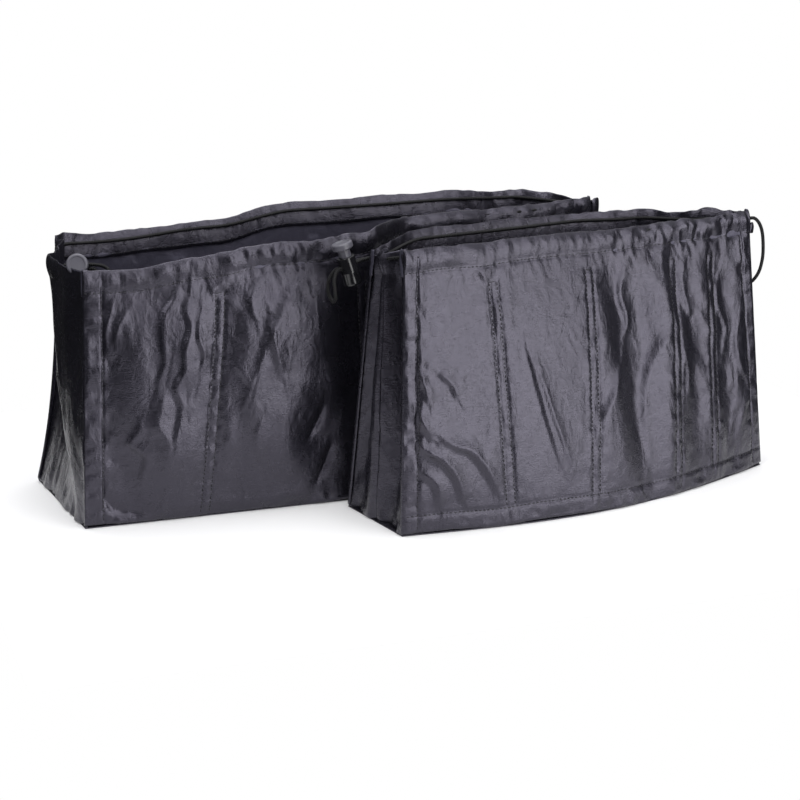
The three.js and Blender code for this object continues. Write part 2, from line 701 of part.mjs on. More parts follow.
function buildInsert(insert, lock) {
  const group = new THREE.Group();
  group.position.set(insert.centreX, insert.centreY, 0);
  group.rotation.z = insert.turn;
  const add = (name, geometry, look) => {
    const mesh = new THREE.Mesh(geometry, new THREE.MeshStandardMaterial(look));
    mesh.name = `${insert.name}_${name}`;
    group.add(mesh);
    return mesh;
  };

  const front = wallPanel(insert, FRONT);
  const back = wallPanel(insert, BACK);
  const openEnd = endPanel(insert, front, back, 0);
  const drawnEnd = endPanel(insert, front, back, 1);
  add('base_panel', basePanel(front, back, pocketStops(insert, 0, 1)), NYLON);

  // Each wall is cut at the divider seam where it bends as the open end of the mouth closes.
  const hemStart = HEM_CORNER / insert.baseWidth;
  const seamHalf = SEAM_GAP / 2 / insert.baseWidth;
  const hemTop = HEM_HEIGHT + SEAM_GAP;
  const halves = [
    { end: 'open_end', from: 0, to: insert.seamShare, near: 0, far: -seamHalf },
    { end: 'drawn_end', from: insert.seamShare, to: 1, near: seamHalf, far: 0 },
  ];
  const flush = () => 0;
  const hemFrames = {};
  for (const [side, wall] of [['front', front], ['back', back]]) {
    hemFrames[side] = [];
    for (const half of halves) {
      const stops = pocketStops(insert, half.from, half.to);
      stops[0] += half.near;
      stops[stops.length - 1] += half.far;
      add(`${side}_wall_${half.end}`, panelCloth(wall, stops, 0, hemTop, WALL_CLOTH, flush), NYLON);
      const layerStops = half.from === 0 ? stops.slice(POCKET_SKIP) : stops.slice(0, -POCKET_SKIP);
      const fullness = (u, share) => WALL_CLOTH + SEAM_GAP + POCKET_EASE * pocketRise(insert, u) * share;
      add(
        `${side}_pockets_${half.end}`,
        panelCloth(wall, layerStops, POCKET_SEAM_HEIGHT, POCKET_MOUTH_DROP, POCKET_CLOTH, fullness),
        POCKET_NYLON,
      );
      const hemStops = [...stops];
      if (half.from === 0) {
        hemStops[0] = hemStart;
      } else {
        const last = hemStops.length - 1;
        hemStops[last] = side === 'back' ? insert.backHemEndShare : 1;
        hemStops.splice(last, 0, (hemStops[last - 1] + hemStops[last]) / 2);
      }
      const atSeam = half.from === 0 ? hemStops.length - 1 : 0;
      const frames = hemStops.map((u, i) => hemFrame(wall, u, i === atSeam ? ALONG : undefined));
      hemFrames[side].push(...frames);
      add(`${side}_hem_${half.end}`, hem(frames), NYLON);
    }
  }

  // The folded ends and their hems.
  const gussetStops = evenStops(0, 1, GUSSET_COLUMNS);
  add('open_end_gusset', panelCloth(openEnd, gussetStops, 0, hemTop, WALL_CLOTH, flush), NYLON);
  add('drawn_end_gusset', panelCloth(drawnEnd, gussetStops, 0, hemTop, WALL_CLOTH, flush), NYLON);
  const [hemNear, hemFar] = insert.endHemShares;
  const endFrames = evenStops(hemNear, hemFar, END_HEM_STEPS).map((w) => hemFrame(openEnd, w));
  add('open_end_hem', hem(endFrames), NYLON);
  const turnFrames = drawnEndFrames(front, back);

  // The drawcord: two strands from the lock, one ahead into the nearer wall's hem and one
  // round the open end into the other's, joined round the drawn end or by the slack loop.
  const centres = (frames) => frames.map(channelCentre);
  const frontRun = centres(hemFrames.front);
  const backRun = centres(hemFrames.back);
  const endRun = centres(endFrames);
  const frame = lockFrame(lock, [endRun[0], endRun[END_HEM_STEPS]]);
  const approach = lock.approach.map((point) => frame.centre.clone().add(vector(...point)));
  if (insert === LARGE) {
    add('drawn_end_hem', hem(turnFrames), NYLON);
    add('drawcord', heldCord([
      ...strandStops(lock, frame, -1),
      ...approach,
      ...withLead(frontRun),
      ...centres(turnFrames),
      ...backRun.reverse(),
      ...endRun.reverse(),
      ...strandStops(lock, frame, 1).reverse(),
    ]), CORD);
  } else {
    add('drawn_end_hem', flatHem(turnFrames), NYLON);
    const ahead = [...strandStops(lock, frame, 1), ...withLead(endRun).reverse(), ...withLead(frontRun)];
    add('drawcord_front', heldCord(ahead), CORD);
    add('drawcord_back', heldCord([...strandStops(lock, frame, -1), ...backRun]), CORD);
    add('slack_loop', freeCord([
      ...[SEAM_GAP, CORD_LEAD].map((distance) => beyond(frontRun, distance)),
      ...SLACK_LOOP.map((offset) => frontRun[frontRun.length - 1].clone().add(vector(...offset))),
      ...[CORD_LEAD, SEAM_GAP].map((distance) => beyond(backRun, distance)),
    ]), CORD);
  }
  add('cord_tail', lockTail(lock, frame), CORD);

  // The cord lock, in its own frame.
  const place = new THREE.Matrix4().makeBasis(frame.x, frame.y, frame.z).setPosition(frame.centre);
  const lockPieces = [
    add('lock_barrel', lockBarrel(), PLASTIC),
    add('lock_plunger', lockPlunger(), BUTTON_PLASTIC),
    add('lock_spring', lockSpring(), STEEL),
  ];
  for (const piece of lockPieces) {
    piece.applyMatrix4(place);
  }
  return group;
}

const group = new THREE.Group();
group.add(buildInsert(LARGE, LARGE_LOCK));
group.add(buildInsert(SMALL, SMALL_LOCK));

export default group;
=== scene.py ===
# %% [markdown]
# Two soft inserts that keep a handbag in order stand on a white table: a large one behind and
# a small one in front of it. They are bags of thin glossy nylon with pockets inside their
# walls, and a drawcord in a hem round the rim draws their mouths shut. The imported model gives
# the frame: its bodies, joints and sizes. This script dresses each body in cloth that looks
# sewn, because the solids are smooth and only as detailed as physics needs.

import math

import bpy
import numpy as np
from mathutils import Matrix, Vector


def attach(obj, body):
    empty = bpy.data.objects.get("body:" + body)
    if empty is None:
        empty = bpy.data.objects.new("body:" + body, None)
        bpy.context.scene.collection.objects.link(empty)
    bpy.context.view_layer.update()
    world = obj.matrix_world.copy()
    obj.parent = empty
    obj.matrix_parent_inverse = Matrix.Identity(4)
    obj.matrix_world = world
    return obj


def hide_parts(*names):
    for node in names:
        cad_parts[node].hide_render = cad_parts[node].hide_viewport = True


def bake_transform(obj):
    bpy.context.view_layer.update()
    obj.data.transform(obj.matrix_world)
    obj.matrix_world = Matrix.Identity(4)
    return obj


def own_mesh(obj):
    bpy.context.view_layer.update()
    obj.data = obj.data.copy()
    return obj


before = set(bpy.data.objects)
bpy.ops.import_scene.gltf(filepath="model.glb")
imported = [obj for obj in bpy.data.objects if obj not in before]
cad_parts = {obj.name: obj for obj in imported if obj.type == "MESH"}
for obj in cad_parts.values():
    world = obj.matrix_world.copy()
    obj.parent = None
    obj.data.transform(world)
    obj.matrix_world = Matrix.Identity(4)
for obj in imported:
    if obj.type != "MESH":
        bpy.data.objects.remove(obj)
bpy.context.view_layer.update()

# %% [markdown]
# The photograph was taken from the front left, a little above the rims, with a long lens. A
# camera can be matched by eye or solved from points whose places are known. It was solved
# here, from the corners of both bases and rims, because a long lens leaves little
# perspective for the eye to judge. The camera and the free cords are made first, so that the
# frame can say at once whether the cords stay in view.

# %% Camera
MM = 0.001
PHOTO_PIXELS, SENSOR_WIDTH = 800, 36
FOCAL_LENGTH_PIXELS = 1900
CAMERA_PLACE, CAMERA_YAW, CAMERA_PITCH = (-325, -1023, 343), 19.3, 15.5


def aim(thing, place, yaw, pitch):
    """Stands a camera or lamp at a place in mm; yaw turns from +Y to +X, pitch tips down."""
    yaw, pitch = math.radians(yaw), math.radians(pitch)
    level = math.cos(pitch)
    forward = Vector((math.sin(yaw) * level, math.cos(yaw) * level, -math.sin(pitch)))
    thing.location = Vector(place) * MM
    thing.rotation_euler = forward.to_track_quat("-Z", "Y").to_euler()


camera_data = bpy.data.cameras.new("camera")
camera_data.sensor_width = SENSOR_WIDTH
camera_data.lens = FOCAL_LENGTH_PIXELS * SENSOR_WIDTH / PHOTO_PIXELS
camera_data.clip_end = 50
camera = bpy.data.objects.new("camera", camera_data)
bpy.context.collection.objects.link(camera)
aim(camera, CAMERA_PLACE, CAMERA_YAW, CAMERA_PITCH)
bpy.context.scene.camera = camera
print("lens", round(camera_data.lens, 1), "mm")

# %% [markdown]
# Every piece here is a grid of points, so one helper turns grids into meshes. A mesh can be
# built face by face or from whole arrays. Whole arrays are used, because a wall has forty
# thousand points. The helper also lays a UV map in metres along the cloth, so that the weave
# has one size on every piece. A second helper declares what every piece has to say.

# %% A grid of points becomes a mesh
def mesh_object(name, points, groups, uv=None):
    """A smooth mesh from points (n, 3) in mm, groups of faces (m, k) and a UV per corner."""
    mesh = bpy.data.meshes.new(name)
    corners = np.concatenate([group.ravel() for group in groups]).astype(np.int32)
    sizes = np.concatenate([np.full(len(group), group.shape[1]) for group in groups])
    starts = np.concatenate([[0], np.cumsum(sizes)[:-1]]).astype(np.int32)
    mesh.vertices.add(len(points))
    mesh.vertices.foreach_set("co", (np.asarray(points) * MM).astype(np.float32).ravel())
    mesh.loops.add(len(corners))
    mesh.loops.foreach_set("vertex_index", corners)
    mesh.polygons.add(len(sizes))
    mesh.polygons.foreach_set("loop_start", starts)
    mesh.polygons.foreach_set("loop_total", sizes.astype(np.int32))
    mesh.update(calc_edges=True)
    if uv is not None:
        mesh.uv_layers.new(name="UVMap").uv.foreach_set("vector", uv.astype(np.float32).ravel())
    mesh.polygons.foreach_set("use_smooth", np.ones(len(sizes), bool))
    piece = bpy.data.objects.new(name, mesh)
    bpy.context.collection.objects.link(piece)
    return piece


def grid_faces(rows, columns, ring=False, flip=False):
    """Quads between neighbouring points of a grid; a ring joins its last column to its first.
    Each quad is listed against the clock, or with it where flip is set."""
    across = columns if ring else columns - 1
    i, j = np.meshgrid(np.arange(rows - 1), np.arange(across), indexing="ij")
    k = (j + 1) % columns
    low, high = i * columns, (i + 1) * columns
    quads = np.stack([low + j, low + k, high + k, high + j], -1)
    return (quads[..., ::-1] if flip else quads).reshape(-1, 4)


def lengths(line):
    """Distances along a line of points, from its first point."""
    return np.concatenate([[0], np.cumsum(np.linalg.norm(np.diff(line, axis=0), axis=-1))])


def surface(name, grid, thickness=0.35, flip=False):
    """A sheet from a grid (rows, columns, 3) in mm, with a UV map of the mean distances along
    its rows and columns, and a thickness grown inwards, whose faces take the second material.
    Those distances are also the size that the cloth was cut to, and they are printed with its name."""
    rows, columns = grid.shape[:2]
    across = np.linalg.norm(np.diff(grid, axis=1), axis=-1).mean(0)
    upward = np.linalg.norm(np.diff(grid, axis=0), axis=-1).mean(1)
    u, v = (np.concatenate([[0], np.cumsum(steps)]) * MM for steps in (across, upward))
    uv = np.stack(np.meshgrid(u, v), -1).reshape(-1, 2)
    faces = grid_faces(rows, columns, flip=flip)
    piece = mesh_object(name, grid.reshape(-1, 3), [faces], uv[faces])
    solidify = piece.modifiers.new("cloth", "SOLIDIFY")
    solidify.thickness = thickness * MM
    solidify.offset = -1
    solidify.material_offset = 1
    print(name, rows, "by", columns, "points,", round(v[-1] / MM), "by", round(u[-1] / MM), "mm")
    return piece


def declare(piece, group, slot, *replaced, body=None):
    """Parents a piece to the empty of its body, if it has one, hides the nodes that it replaces,
    and adds it to the group that gets one finish. The slot is not used."""
    if body:
        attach(piece, body)
    if replaced:
        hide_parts(*replaced)
    group.append(piece)


# %% [markdown]
# Both inserts follow one plan, so one set of sizes describes each, in millimetres. Shares say
# how the rim leans and sags along a wall, and a table of shares is read with an eased step
# from each entry to the next. That gives the soft curves that cloth takes between the places
# where it is held.
#
# The rim is shorter than the foot by the two insets. The rims meet on the meeting line, a gap
# apart. From the seam on, the feet draw in by the narrowing. The front foot stands out by a
# bow in the middle and by a swell all along, and the open end's back corner flares. Belly,
# bow, fold and drawn_fold are how far the walls, the open end's rim and the folds of the two
# ends stand in or out. Pockets are the shares of a wall that its pocket layer spans.

# %% The sizes of the two inserts
FRONT, BACK = 0, 1
LARGE = {
    "name": "large", "centre": (0, 0), "turn": 0, "width": 328, "depth": 96, "height": 157,
    "inset_open": 5, "inset_drawn": 12, "gap": 9, "meeting": 2, "narrowing": (36, 6), "belly": 3,
    "seam": 0.5, "foot_bow": 0, "foot_swell": 0, "foot_flare": 10.5,
    "bow": 10, "fold": 12, "drawn_fold": 16,
    "lean": (
        ((0, 0), (0.42, 0.01), (0.5, 0.12), (0.62, 0.6), (0.82, 0.8), (1, 1)),
        ((0, 0.25), (0.12, 0.06), (0.25, 0), (0.75, 0.03), (0.89, 0.24), (0.95, 0.55), (1, 1)),
    ),
    "sag": (
        ((0, 0.1), (0.08, 0.1), (0.2, 0.07), (0.34, 0.04), (0.47, 0.03), (0.62, 0), (1, 0)),
        ((0, 0.075), (0.1, 0.085), (0.3, 0.06), (0.46, 0.014), (1, 0)),
    ),
    "bow_shares": ((0, 0), (0.24, 0.74), (0.48, 1), (1, 0)),
    "pockets": (0.125, 0.875),
}
SMALL = {
    "name": "small", "centre": (110.4, -58.5), "turn": 0.2025, "width": 251, "depth": 54, "height": 154,
    "inset_open": 5, "inset_drawn": 14, "gap": 9, "meeting": -22.5, "narrowing": (0, 24), "belly": 2,
    "seam": 0.466, "foot_bow": 22, "foot_swell": 6, "foot_flare": 0,
    "bow": 5, "fold": 13, "drawn_fold": 8,
    "lean": (
        ((0, 0), (1, 1)),
        ((0, 0.42), (0.17, 0.2), (0.59, 0.2), (0.75, 0.4), (0.905, 0.82), (1, 1)),
    ),
    "sag": (((0, 0), (1, 0)), ((0, 0.03), (0.17, 0), (1, 0))),
    "bow_shares": ((0, 0), (0.3, -1), (0.5, 0.4), (0.75, -0.8), (1, 0)),
    "pockets": (0.1225, 0.915),
}
FOOT_HEIGHT = 1.2
WALL_CLOTH = 0.9
SEAM_GAP = 0.3
HEM_HEIGHT = 12.5
ALONG = np.array([1.0, 0, 0])
UP = np.array([0, 0, 1.0])


def along(table, place):
    """The value of a table of (place, value) pairs, eased by 3t^2 - 2t^3 between neighbours."""
    places, values = np.array(table, float).T
    place = np.clip(np.asarray(place, float), places[0], places[-1])
    slot = np.clip(np.searchsorted(places, place, side="left"), 1, len(places) - 1)
    t = (place - places[slot - 1]) / (places[slot] - places[slot - 1])
    return values[slot - 1] + (values[slot] - values[slot - 1]) * t * t * (3 - 2 * t)


def ease(place, low, high):
    """0 below low, 1 above high, and 3t^2 - 2t^3 between."""
    t = np.clip((np.asarray(place, float) - low) / (high - low), 0, 1)
    return t * t * (3 - 2 * t)


def unit(vectors):
    """Vectors divided by their lengths."""
    return vectors / np.linalg.norm(vectors, axis=-1)[..., None]


def upright(foot, rim):
    """The way up from foot to rim, and how far it is."""
    return unit(rim - foot), np.linalg.norm(rim - foot, axis=-1)


def placed(insert, points):
    """Turns points about the upward axis by the insert's turn and moves them to its centre."""
    cos, sin = math.cos(insert["turn"]), math.sin(insert["turn"])
    x, y, z = np.moveaxis(np.asarray(points, float), -1, 0)
    centre = insert["centre"]
    return np.stack([centre[0] + cos * x - sin * y, centre[1] + sin * x + cos * y, z], -1)


def turned(insert, vectors):
    """Turns vectors by the insert's turn, without moving them."""
    return placed({**insert, "centre": (0, 0)}, vectors)


def seeded(first, insert, side):
    """A seed for each wall, apart enough for the noises that are counted from it."""
    return first + 20 * side + (0 if insert is LARGE else 100)


def wall_lines(insert, side, u):
    """Foot and rim of a wall at shares u of its width: the foot follows the base's edge, draws
    in past the seam, and in front bows out by a sine; the rim leans from its own wall to the
    meeting line by the lean table, is as high as cloth of the wall's height then reaches, and
    drops by the sag table."""
    sign = (-1, 1)[side]
    u = np.asarray(u, float)
    width, depth, height = insert["width"], insert["depth"], insert["height"] - FOOT_HEIGHT
    past = np.clip((u - insert["seam"]) / (1 - insert["seam"]), 0, None)
    foot_y = sign * (depth / 2 - insert["narrowing"][side] * past)
    inset = insert["inset_open"]
    rim_x = -width / 2 + inset + u * (width - inset - insert["inset_drawn"])
    lean = along(insert["lean"][side], u)
    rim_y = sign * depth / 2 * (1 - lean) + (insert["meeting"] + sign * insert["gap"] / 2) * lean
    drop = height * along(insert["sag"][side], u)
    rim_z = FOOT_HEIGHT + np.sqrt(height**2 - (rim_y - foot_y) ** 2) - drop
    if side == FRONT:
        foot_y = foot_y - insert["foot_bow"] * np.sin(math.pi * u) - insert["foot_swell"]
    foot = np.stack([(u - 0.5) * width, foot_y, np.full_like(u, FOOT_HEIGHT)], -1)
    return foot, np.stack([rim_x, rim_y, rim_z], -1)


def spread(insert, share_across, share_up):
    """How far the folded end's back corner spreads along -X: flare * across * (1 - up)^3."""
    return insert["foot_flare"] * share_across * (1 - share_up) ** 3


for insert in (LARGE, SMALL):
    rim_ends = [np.round(wall_lines(insert, FRONT, u)[1]) for u in (0, 1)]
    print(insert["name"], "front rim runs from", *rim_ends)

# %% [markdown]
# Three stretches of cord lie free: a loop that hangs from each lock, and a loop of slack at
# the small insert's drawn end. Each is a thin limp braid. A cord could be a bevelled curve or
# a swept tube. It is a tube here, because a tube carries a UV map, and the braid then follows
# the cord through every bend.

# %% The line of a cord and the tube round it
CORD = 2.0


def through(points, steps=4):
    """The centripetal Catmull-Rom curve through points: each stretch blends the lines that
    pass its ends, with knots spaced by the square root of the distance."""
    points = np.array(points, float)
    p = np.concatenate([[2 * points[0] - points[1]], points, [2 * points[-1] - points[-2]]])
    knot = np.concatenate([[0], np.cumsum(np.linalg.norm(np.diff(p, axis=0), axis=1) ** 0.5)])
    k = [knot[i : len(knot) - 3 + i, None] for i in range(4)]
    q = [p[i : len(p) - 3 + i] for i in range(4)]
    line = []
    for step in range(1, steps + 1):
        t = k[1] + (k[2] - k[1]) * step / steps
        a = [((k[i + 1] - t) * q[i] + (t - k[i]) * q[i + 1]) / (k[i + 1] - k[i]) for i in range(3)]
        b = [((k[i + 2] - t) * a[i] + (t - k[i]) * a[i + 1]) / (k[i + 2] - k[i]) for i in range(2)]
        line.append(((k[2] - t) * b[0] + (t - k[1]) * b[1]) / (k[2] - k[1]))
    return np.concatenate([points[:1], np.stack(line, 1).reshape(-1, 3)])


def ring_caps(rings, sides):
    """Fans that close the first and the last ring, whose two tips follow all the rings."""
    k = np.arange(sides)
    after = (k + 1) % sides
    tip, far = rings * sides, (rings - 1) * sides
    return np.concatenate([
        np.stack([np.full(sides, tip), after, k], 1),
        np.stack([np.full(sides, tip + 1), far + k, far + after], 1),
    ])


def tube(name, line, diameter, sides=14):
    """A tube in mm round a line: a circle at each point, square to the line there and carried
    along without twist; the circle shrinks over two more rings at each end, and a fan shuts
    it. Its UV map has the share of a turn and the distance along in metres."""
    ahead = unit(np.gradient(line, axis=0))
    side = np.zeros_like(line)
    side[0] = np.cross(ahead[0], [0.13, 0.21, 1])
    for i in range(1, len(line)):
        side[i] = side[i - 1] - ahead[i] * (side[i - 1] @ ahead[i])
    side = unit(side)
    over = np.cross(ahead, side)
    pad = np.concatenate([[0, 0], np.arange(len(line)), [len(line) - 1] * 2])
    shrink = np.concatenate([[0.55, 0.85], np.ones(len(line)), [0.85, 0.55]])
    out = np.concatenate([[-0.3, -0.2], np.zeros(len(line)), [0.2, 0.3]]) * diameter / 2
    line, ahead, side, over = line[pad] + ahead[pad] * out[:, None], ahead[pad], side[pad], over[pad]
    turn = np.arange(sides) * 2 * math.pi / sides
    ring = np.cos(turn)[None, :, None] * side[:, None] + np.sin(turn)[None, :, None] * over[:, None]
    grid = line[:, None] + ring * (shrink * diameter / 2)[:, None, None]
    rows = len(line)
    faces, fans = grid_faces(rows, sides, ring=True), ring_caps(rows, sides)
    distance = lengths(line) * MM
    k = np.arange(sides)
    share = np.stack([k, k + 1, k + 1, k], 1) / sides
    uv = np.stack([np.tile(share, (rows - 1, 1)), distance[faces // sides]], -1).reshape(-1, 2)
    uv = np.concatenate([uv, np.zeros((fans.size, 2))])
    points = np.concatenate([grid.reshape(-1, 3), line[:1], line[-1:]])
    return mesh_object(name, points, [faces, fans], uv)


# %% [markdown]
# The routes are those of the solids, point for point, so that each cord leaves its lock or
# its hem where the mechanism says. The loops are short, a few centimetres, and hang down from
# their two ends, which both go back into the object.

# %% Free cords
LARGE_TAIL = [
    (-151.35, -25.25, 141.13), (-149.44, -25.85, 141.13), (-144.1, -27.88, 140.04),
    (-140.29, -29.07, 135.54), (-138.85, -29.51, 130.04), (-140.76, -28.92, 125.54),
    (-144.58, -27.73, 124.54), (-146.97, -26.98, 128.04), (-146.49, -27.13, 132.54),
    (-149.65, -26.51, 138.94), (-151.56, -25.92, 138.94),
]
SMALL_TAIL = [
    (-137.17, 11.83, 139.7), (-139.1, 11.83, 139.18), (-142.03, 10.18, 133.98),
    (-142.23, 8.98, 128.98), (-141.63, 9.78, 124.48), (-141.23, 12.98, 122.18),
    (-141.63, 16.18, 124.48), (-142.23, 16.98, 128.98), (-142.03, 15.78, 133.98),
    (-139.05, 14.12, 138.98), (-137.12, 14.12, 139.5),
]
SLACK_LOOP = [
    (112.14, -26.55, 150.27), (113.84, -26.55, 150.27), (116.34, -26.65, 149.97),
    (119.74, -26.75, 147.27), (122.34, -26.95, 142.27), (123.84, -26.95, 134.27),
    (124.24, -26.55, 125.27), (123.04, -25.05, 116.77), (120.64, -21.55, 110.77),
    (118.44, -17.05, 109.27), (117.44, -13.55, 112.77), (117.84, -12.75, 120.27),
    (118.84, -13.55, 130.27), (119.44, -15.35, 140.27), (118.14, -16.55, 147.27),
    (116.44, -16.35, 151.07), (113.64, -16.15, 152.07), (109.03, -17.79, 148.8),
    (107.47, -17.13, 148.85),
]
cords = []


def free_cord(name, insert, points, body, node):
    """A free cord from points in the insert's own mm: placed, swept, and declared."""
    line = placed(insert, through(points))
    cord = tube(name, line, CORD)
    declare(cord, cords, "cord", node, body=body)


free_cord("large_cord_tail_braid", LARGE, LARGE_TAIL, "large_lock", "large_cord_tail")
free_cord("small_cord_tail_braid", SMALL, SMALL_TAIL, "small_lock", "small_cord_tail")
free_cord("small_slack_loop_braid", SMALL, SLACK_LOOP, "small_base", "small_slack_loop")

# %% [markdown]
# Thin nylon never lies flat: it puckers along each row of stitches, creases where it was
# folded, and buckles softly between its seams. The relief could be painted as bump, but
# highlights on gloss come from the real slope of the cloth, so the larger forms are moved
# points. They are added up here from smooth noise, creases drawn where the photograph
# shows them, and grooves under the stitches.

# %% Noise and creases
LATTICE = (97, 89)


def noise(x, y, seed):
    """Smooth noise from -1 to 1: seeded random values on a lattice, eased between."""
    values = np.random.default_rng(seed).uniform(-1, 1, LATTICE)
    x, y = np.broadcast_arrays(np.asarray(x, float), np.asarray(y, float))
    i, j = np.floor(x).astype(int), np.floor(y).astype(int)
    s, t = x - i, y - j
    s, t = s * s * (3 - 2 * s), t * t * (3 - 2 * t)
    right, above = (i + 1) % LATTICE[0], (j + 1) % LATTICE[1]
    i, j = i % LATTICE[0], j % LATTICE[1]
    low = values[i, j] * (1 - s) + values[right, j] * s
    high = values[i, above] * (1 - s) + values[right, above] * s
    return low * (1 - t) + high * t


def crumple(x, y, seed):
    """Sharp creases between soft facets: noise is folded at zero, over three finer scales, on
    places that more noise has shifted."""
    bend = noise(x * 0.7, y * 0.7, seed + 7)
    total = 0
    for octave, share in enumerate((0.6, 0.28, 0.12)):
        scale = 2**octave
        folded = np.abs(noise((x + bend) * scale, (y - bend) * scale, seed + octave))
        total = total + share * (1 - 2.4 * folded)
    return total


def beside(x, h, points):
    """Distance from a drawn line, positive on the right of its direction, and the share of
    the line's length that has been passed at the nearest point."""
    line = through([(a, b, 0) for a, b in points], 3)[:, :2]
    steps = lengths(line)
    nearest, signed, passed = np.full(x.shape, 1e9), np.zeros(x.shape), np.zeros(x.shape)
    for i in range(len(line) - 1):
        ahead = line[i + 1] - line[i]
        dx, dh = x - line[i, 0], h - line[i, 1]
        t = np.clip((dx * ahead[0] + dh * ahead[1]) / (ahead @ ahead), 0, 1)
        away = np.hypot(dx - t * ahead[0], dh - t * ahead[1])
        closer = away < nearest
        nearest = np.where(closer, away, nearest)
        signed = np.where(closer, away * np.sign(ahead[1] * dx - ahead[0] * dh), signed)
        passed = np.where(closer, (steps[i] + t * (steps[i + 1] - steps[i])) / steps[-1], passed)
    return signed, passed


def crease(x, h, height, width, reach, points):
    """A fold that stands up along a drawn line: height e^-(d/width)^2 on the right of its
    direction, the steep side, and height e^(-d/reach) on the left, fading at both ends."""
    signed, passed = beside(x, h, points)
    steep = np.exp(-((signed / width) ** 2))
    gentle = np.exp(-np.abs(signed) / reach)
    fade = np.sqrt(np.clip(np.sin(math.pi * (0.04 + 0.92 * passed)), 0, 1))
    return height * fade * np.where(signed > 0, steep, gentle)


# %% [markdown]
# A wall has two rows of stitches down each divider, closed at the top below the hem, a
# flat-felled strip at each end, and on the small insert a band along the foot. Distances run
# along the wall from the open end and up from the foot, in millimetres.
#
# A divider's row leans, so it has a place at the foot and one at the top. Gather and crumpled
# say how much the hem puckers and the wall crumples, by share along the front and back wall.
# A roll is a broad step in the cloth: its height, the width that it takes, and the line that
# it follows. A crease has its height, its steep and its gentle width, and its line. Where the
# rolls end up on the whole is taken back by rolls_down, so the wall stays in its place.

# %% Seams and folds of each wall
ROW_SPACING = 5
ROW_TOP_BELOW_HEM = 9
LARGE["rows"] = ((66, 77), (164, 162), (246, 243))
LARGE["strip"] = 10
LARGE["band"] = 0
LARGE["gather"] = (
    ((0, 0.35), (0.15, 0.4), (0.28, 1), (0.5, 0.9), (0.7, 0.7), (1, 1.5)),
    ((0, 1.3), (0.1, 0.8), (0.3, 0.4), (0.7, 0.5), (0.85, 1.2), (1, 1.6)),
)
LARGE["crumpled"] = (
    ((0, 0.35), (0.15, 0.4), (0.3, 0.5), (0.5, 0.5), (1, 0.8)),
    ((0, 0.5), (0.5, 0.4), (1, 0.9)),
)
LARGE["rolls"] = (
    (5.2, 26, ((31, -10), (37, 18), (31, 35), (22, 50), (21, 95), (19, 126), (17, 150))),
    (-6.5, 36, ((129, -10), (126, 29), (126, 44), (134, 60), (143, 69), (139, 82), (139, 104),
                (136, 124), (134, 150))),
    (-1.6, 14, ((60, 10), (64, 50), (62, 90), (66, 120))),
    (1.8, 14, ((88, 14), (90, 50), (86, 90), (90, 120))),
)
LARGE["rolls_down"] = 0.75
LARGE["creases"] = (
    (1.8, 1.4, 12, ((52, 128), (50, 122), (45, 116), (43, 103), (44, 89), (40, 77))),
    (2.0, 1.6, 13, ((58, 122), (57, 115), (59, 108), (55, 95), (55, 84), (50, 75), (53, 64), (49, 45))),
    (2.6, 5.0, 14, ((44, 72), (42, 62), (40, 55), (46, 44), (44, 24))),
    (1.6, 1.3, 10, ((64, 112), (63, 102), (66, 92), (64, 82))),
    (1.1, 1.2, 7, ((83, 86), (88, 79), (92, 72))),
    (1.0, 1.2, 6, ((91, 72), (89, 66), (87, 59))),
    (1.6, 2.2, 5, ((31, 58), (29, 51), (25, 45), (33, 38), (31, 20))),
    (1.2, 1.6, 4, ((17, 124), (14, 114), (12, 106), (13, 95))),
    (1.2, 1.6, 4, ((24, 118), (19, 110), (17, 101))),
    (1.8, 3.4, 14, ((118, 122), (112, 112), (107, 104), (102, 94), (97, 80))),
    (1.8, 2.5, 9, ((104, 108), (107, 92), (110, 78))),
    (-2.2, 3.0, 3, ((136, 56), (133, 48), (126, 38))),
    (-2.0, 3.0, 3, ((141, 32), (137, 22), (131, 12))),
    (-1.6, 2.5, 4, ((9, 17), (16, 8), (28, 5))),
    (1.2, 1.4, 8, ((76, 60), (79, 48), (77, 36))),
    (1.0, 1.3, 8, ((97, 52), (94, 42), (97, 30))),
    (1.6, 2.0, 10, ((72, 128), (75, 122), (74, 114))),
    (1.4, 1.8, 9, ((98, 128), (94, 121), (95, 112))),
)
SMALL["rows"] = ((61, 57), (113, 124), (174, 187), (207, 217))
SMALL["strip"] = 8
SMALL["band"] = 9
SMALL["gather"] = (
    ((0, 0.7), (0.2, 0.6), (0.45, 0.35), (0.6, 0.9), (0.8, 1.5), (1, 1.7)),
    ((0, 1.2), (0.2, 0.5), (0.5, 0.5), (0.7, 1), (1, 1.8)),
)
SMALL["crumpled"] = (
    ((0, 0.6), (0.1, 0.45), (0.3, 0.25), (0.5, 0.4), (0.6, 0.9), (0.8, 1.5), (1, 1.4)),
    ((0, 0.5), (0.5, 0.5), (1, 1.2)),
)
SMALL["rolls"] = (
    (-5.0, 22, ((146, 10), (141, 50), (138, 90), (134, 118), (130, 135))),
    (6.0, 26, ((158, 0), (163, 30), (166, 60), (170, 84), (168, 110), (160, 130))),
    (-3.4, 16, ((186, 0), (184, 40), (190, 80), (184, 120), (186, 140))),
    (3.0, 16, ((200, 0), (203, 40), (204, 90), (200, 130))),
    (-3.0, 14, ((216, 0), (214, 50), (220, 90), (216, 130))),
    (2.6, 14, ((230, 0), (229, 60), (232, 100), (230, 130))),
)
SMALL["rolls_down"] = -0.27
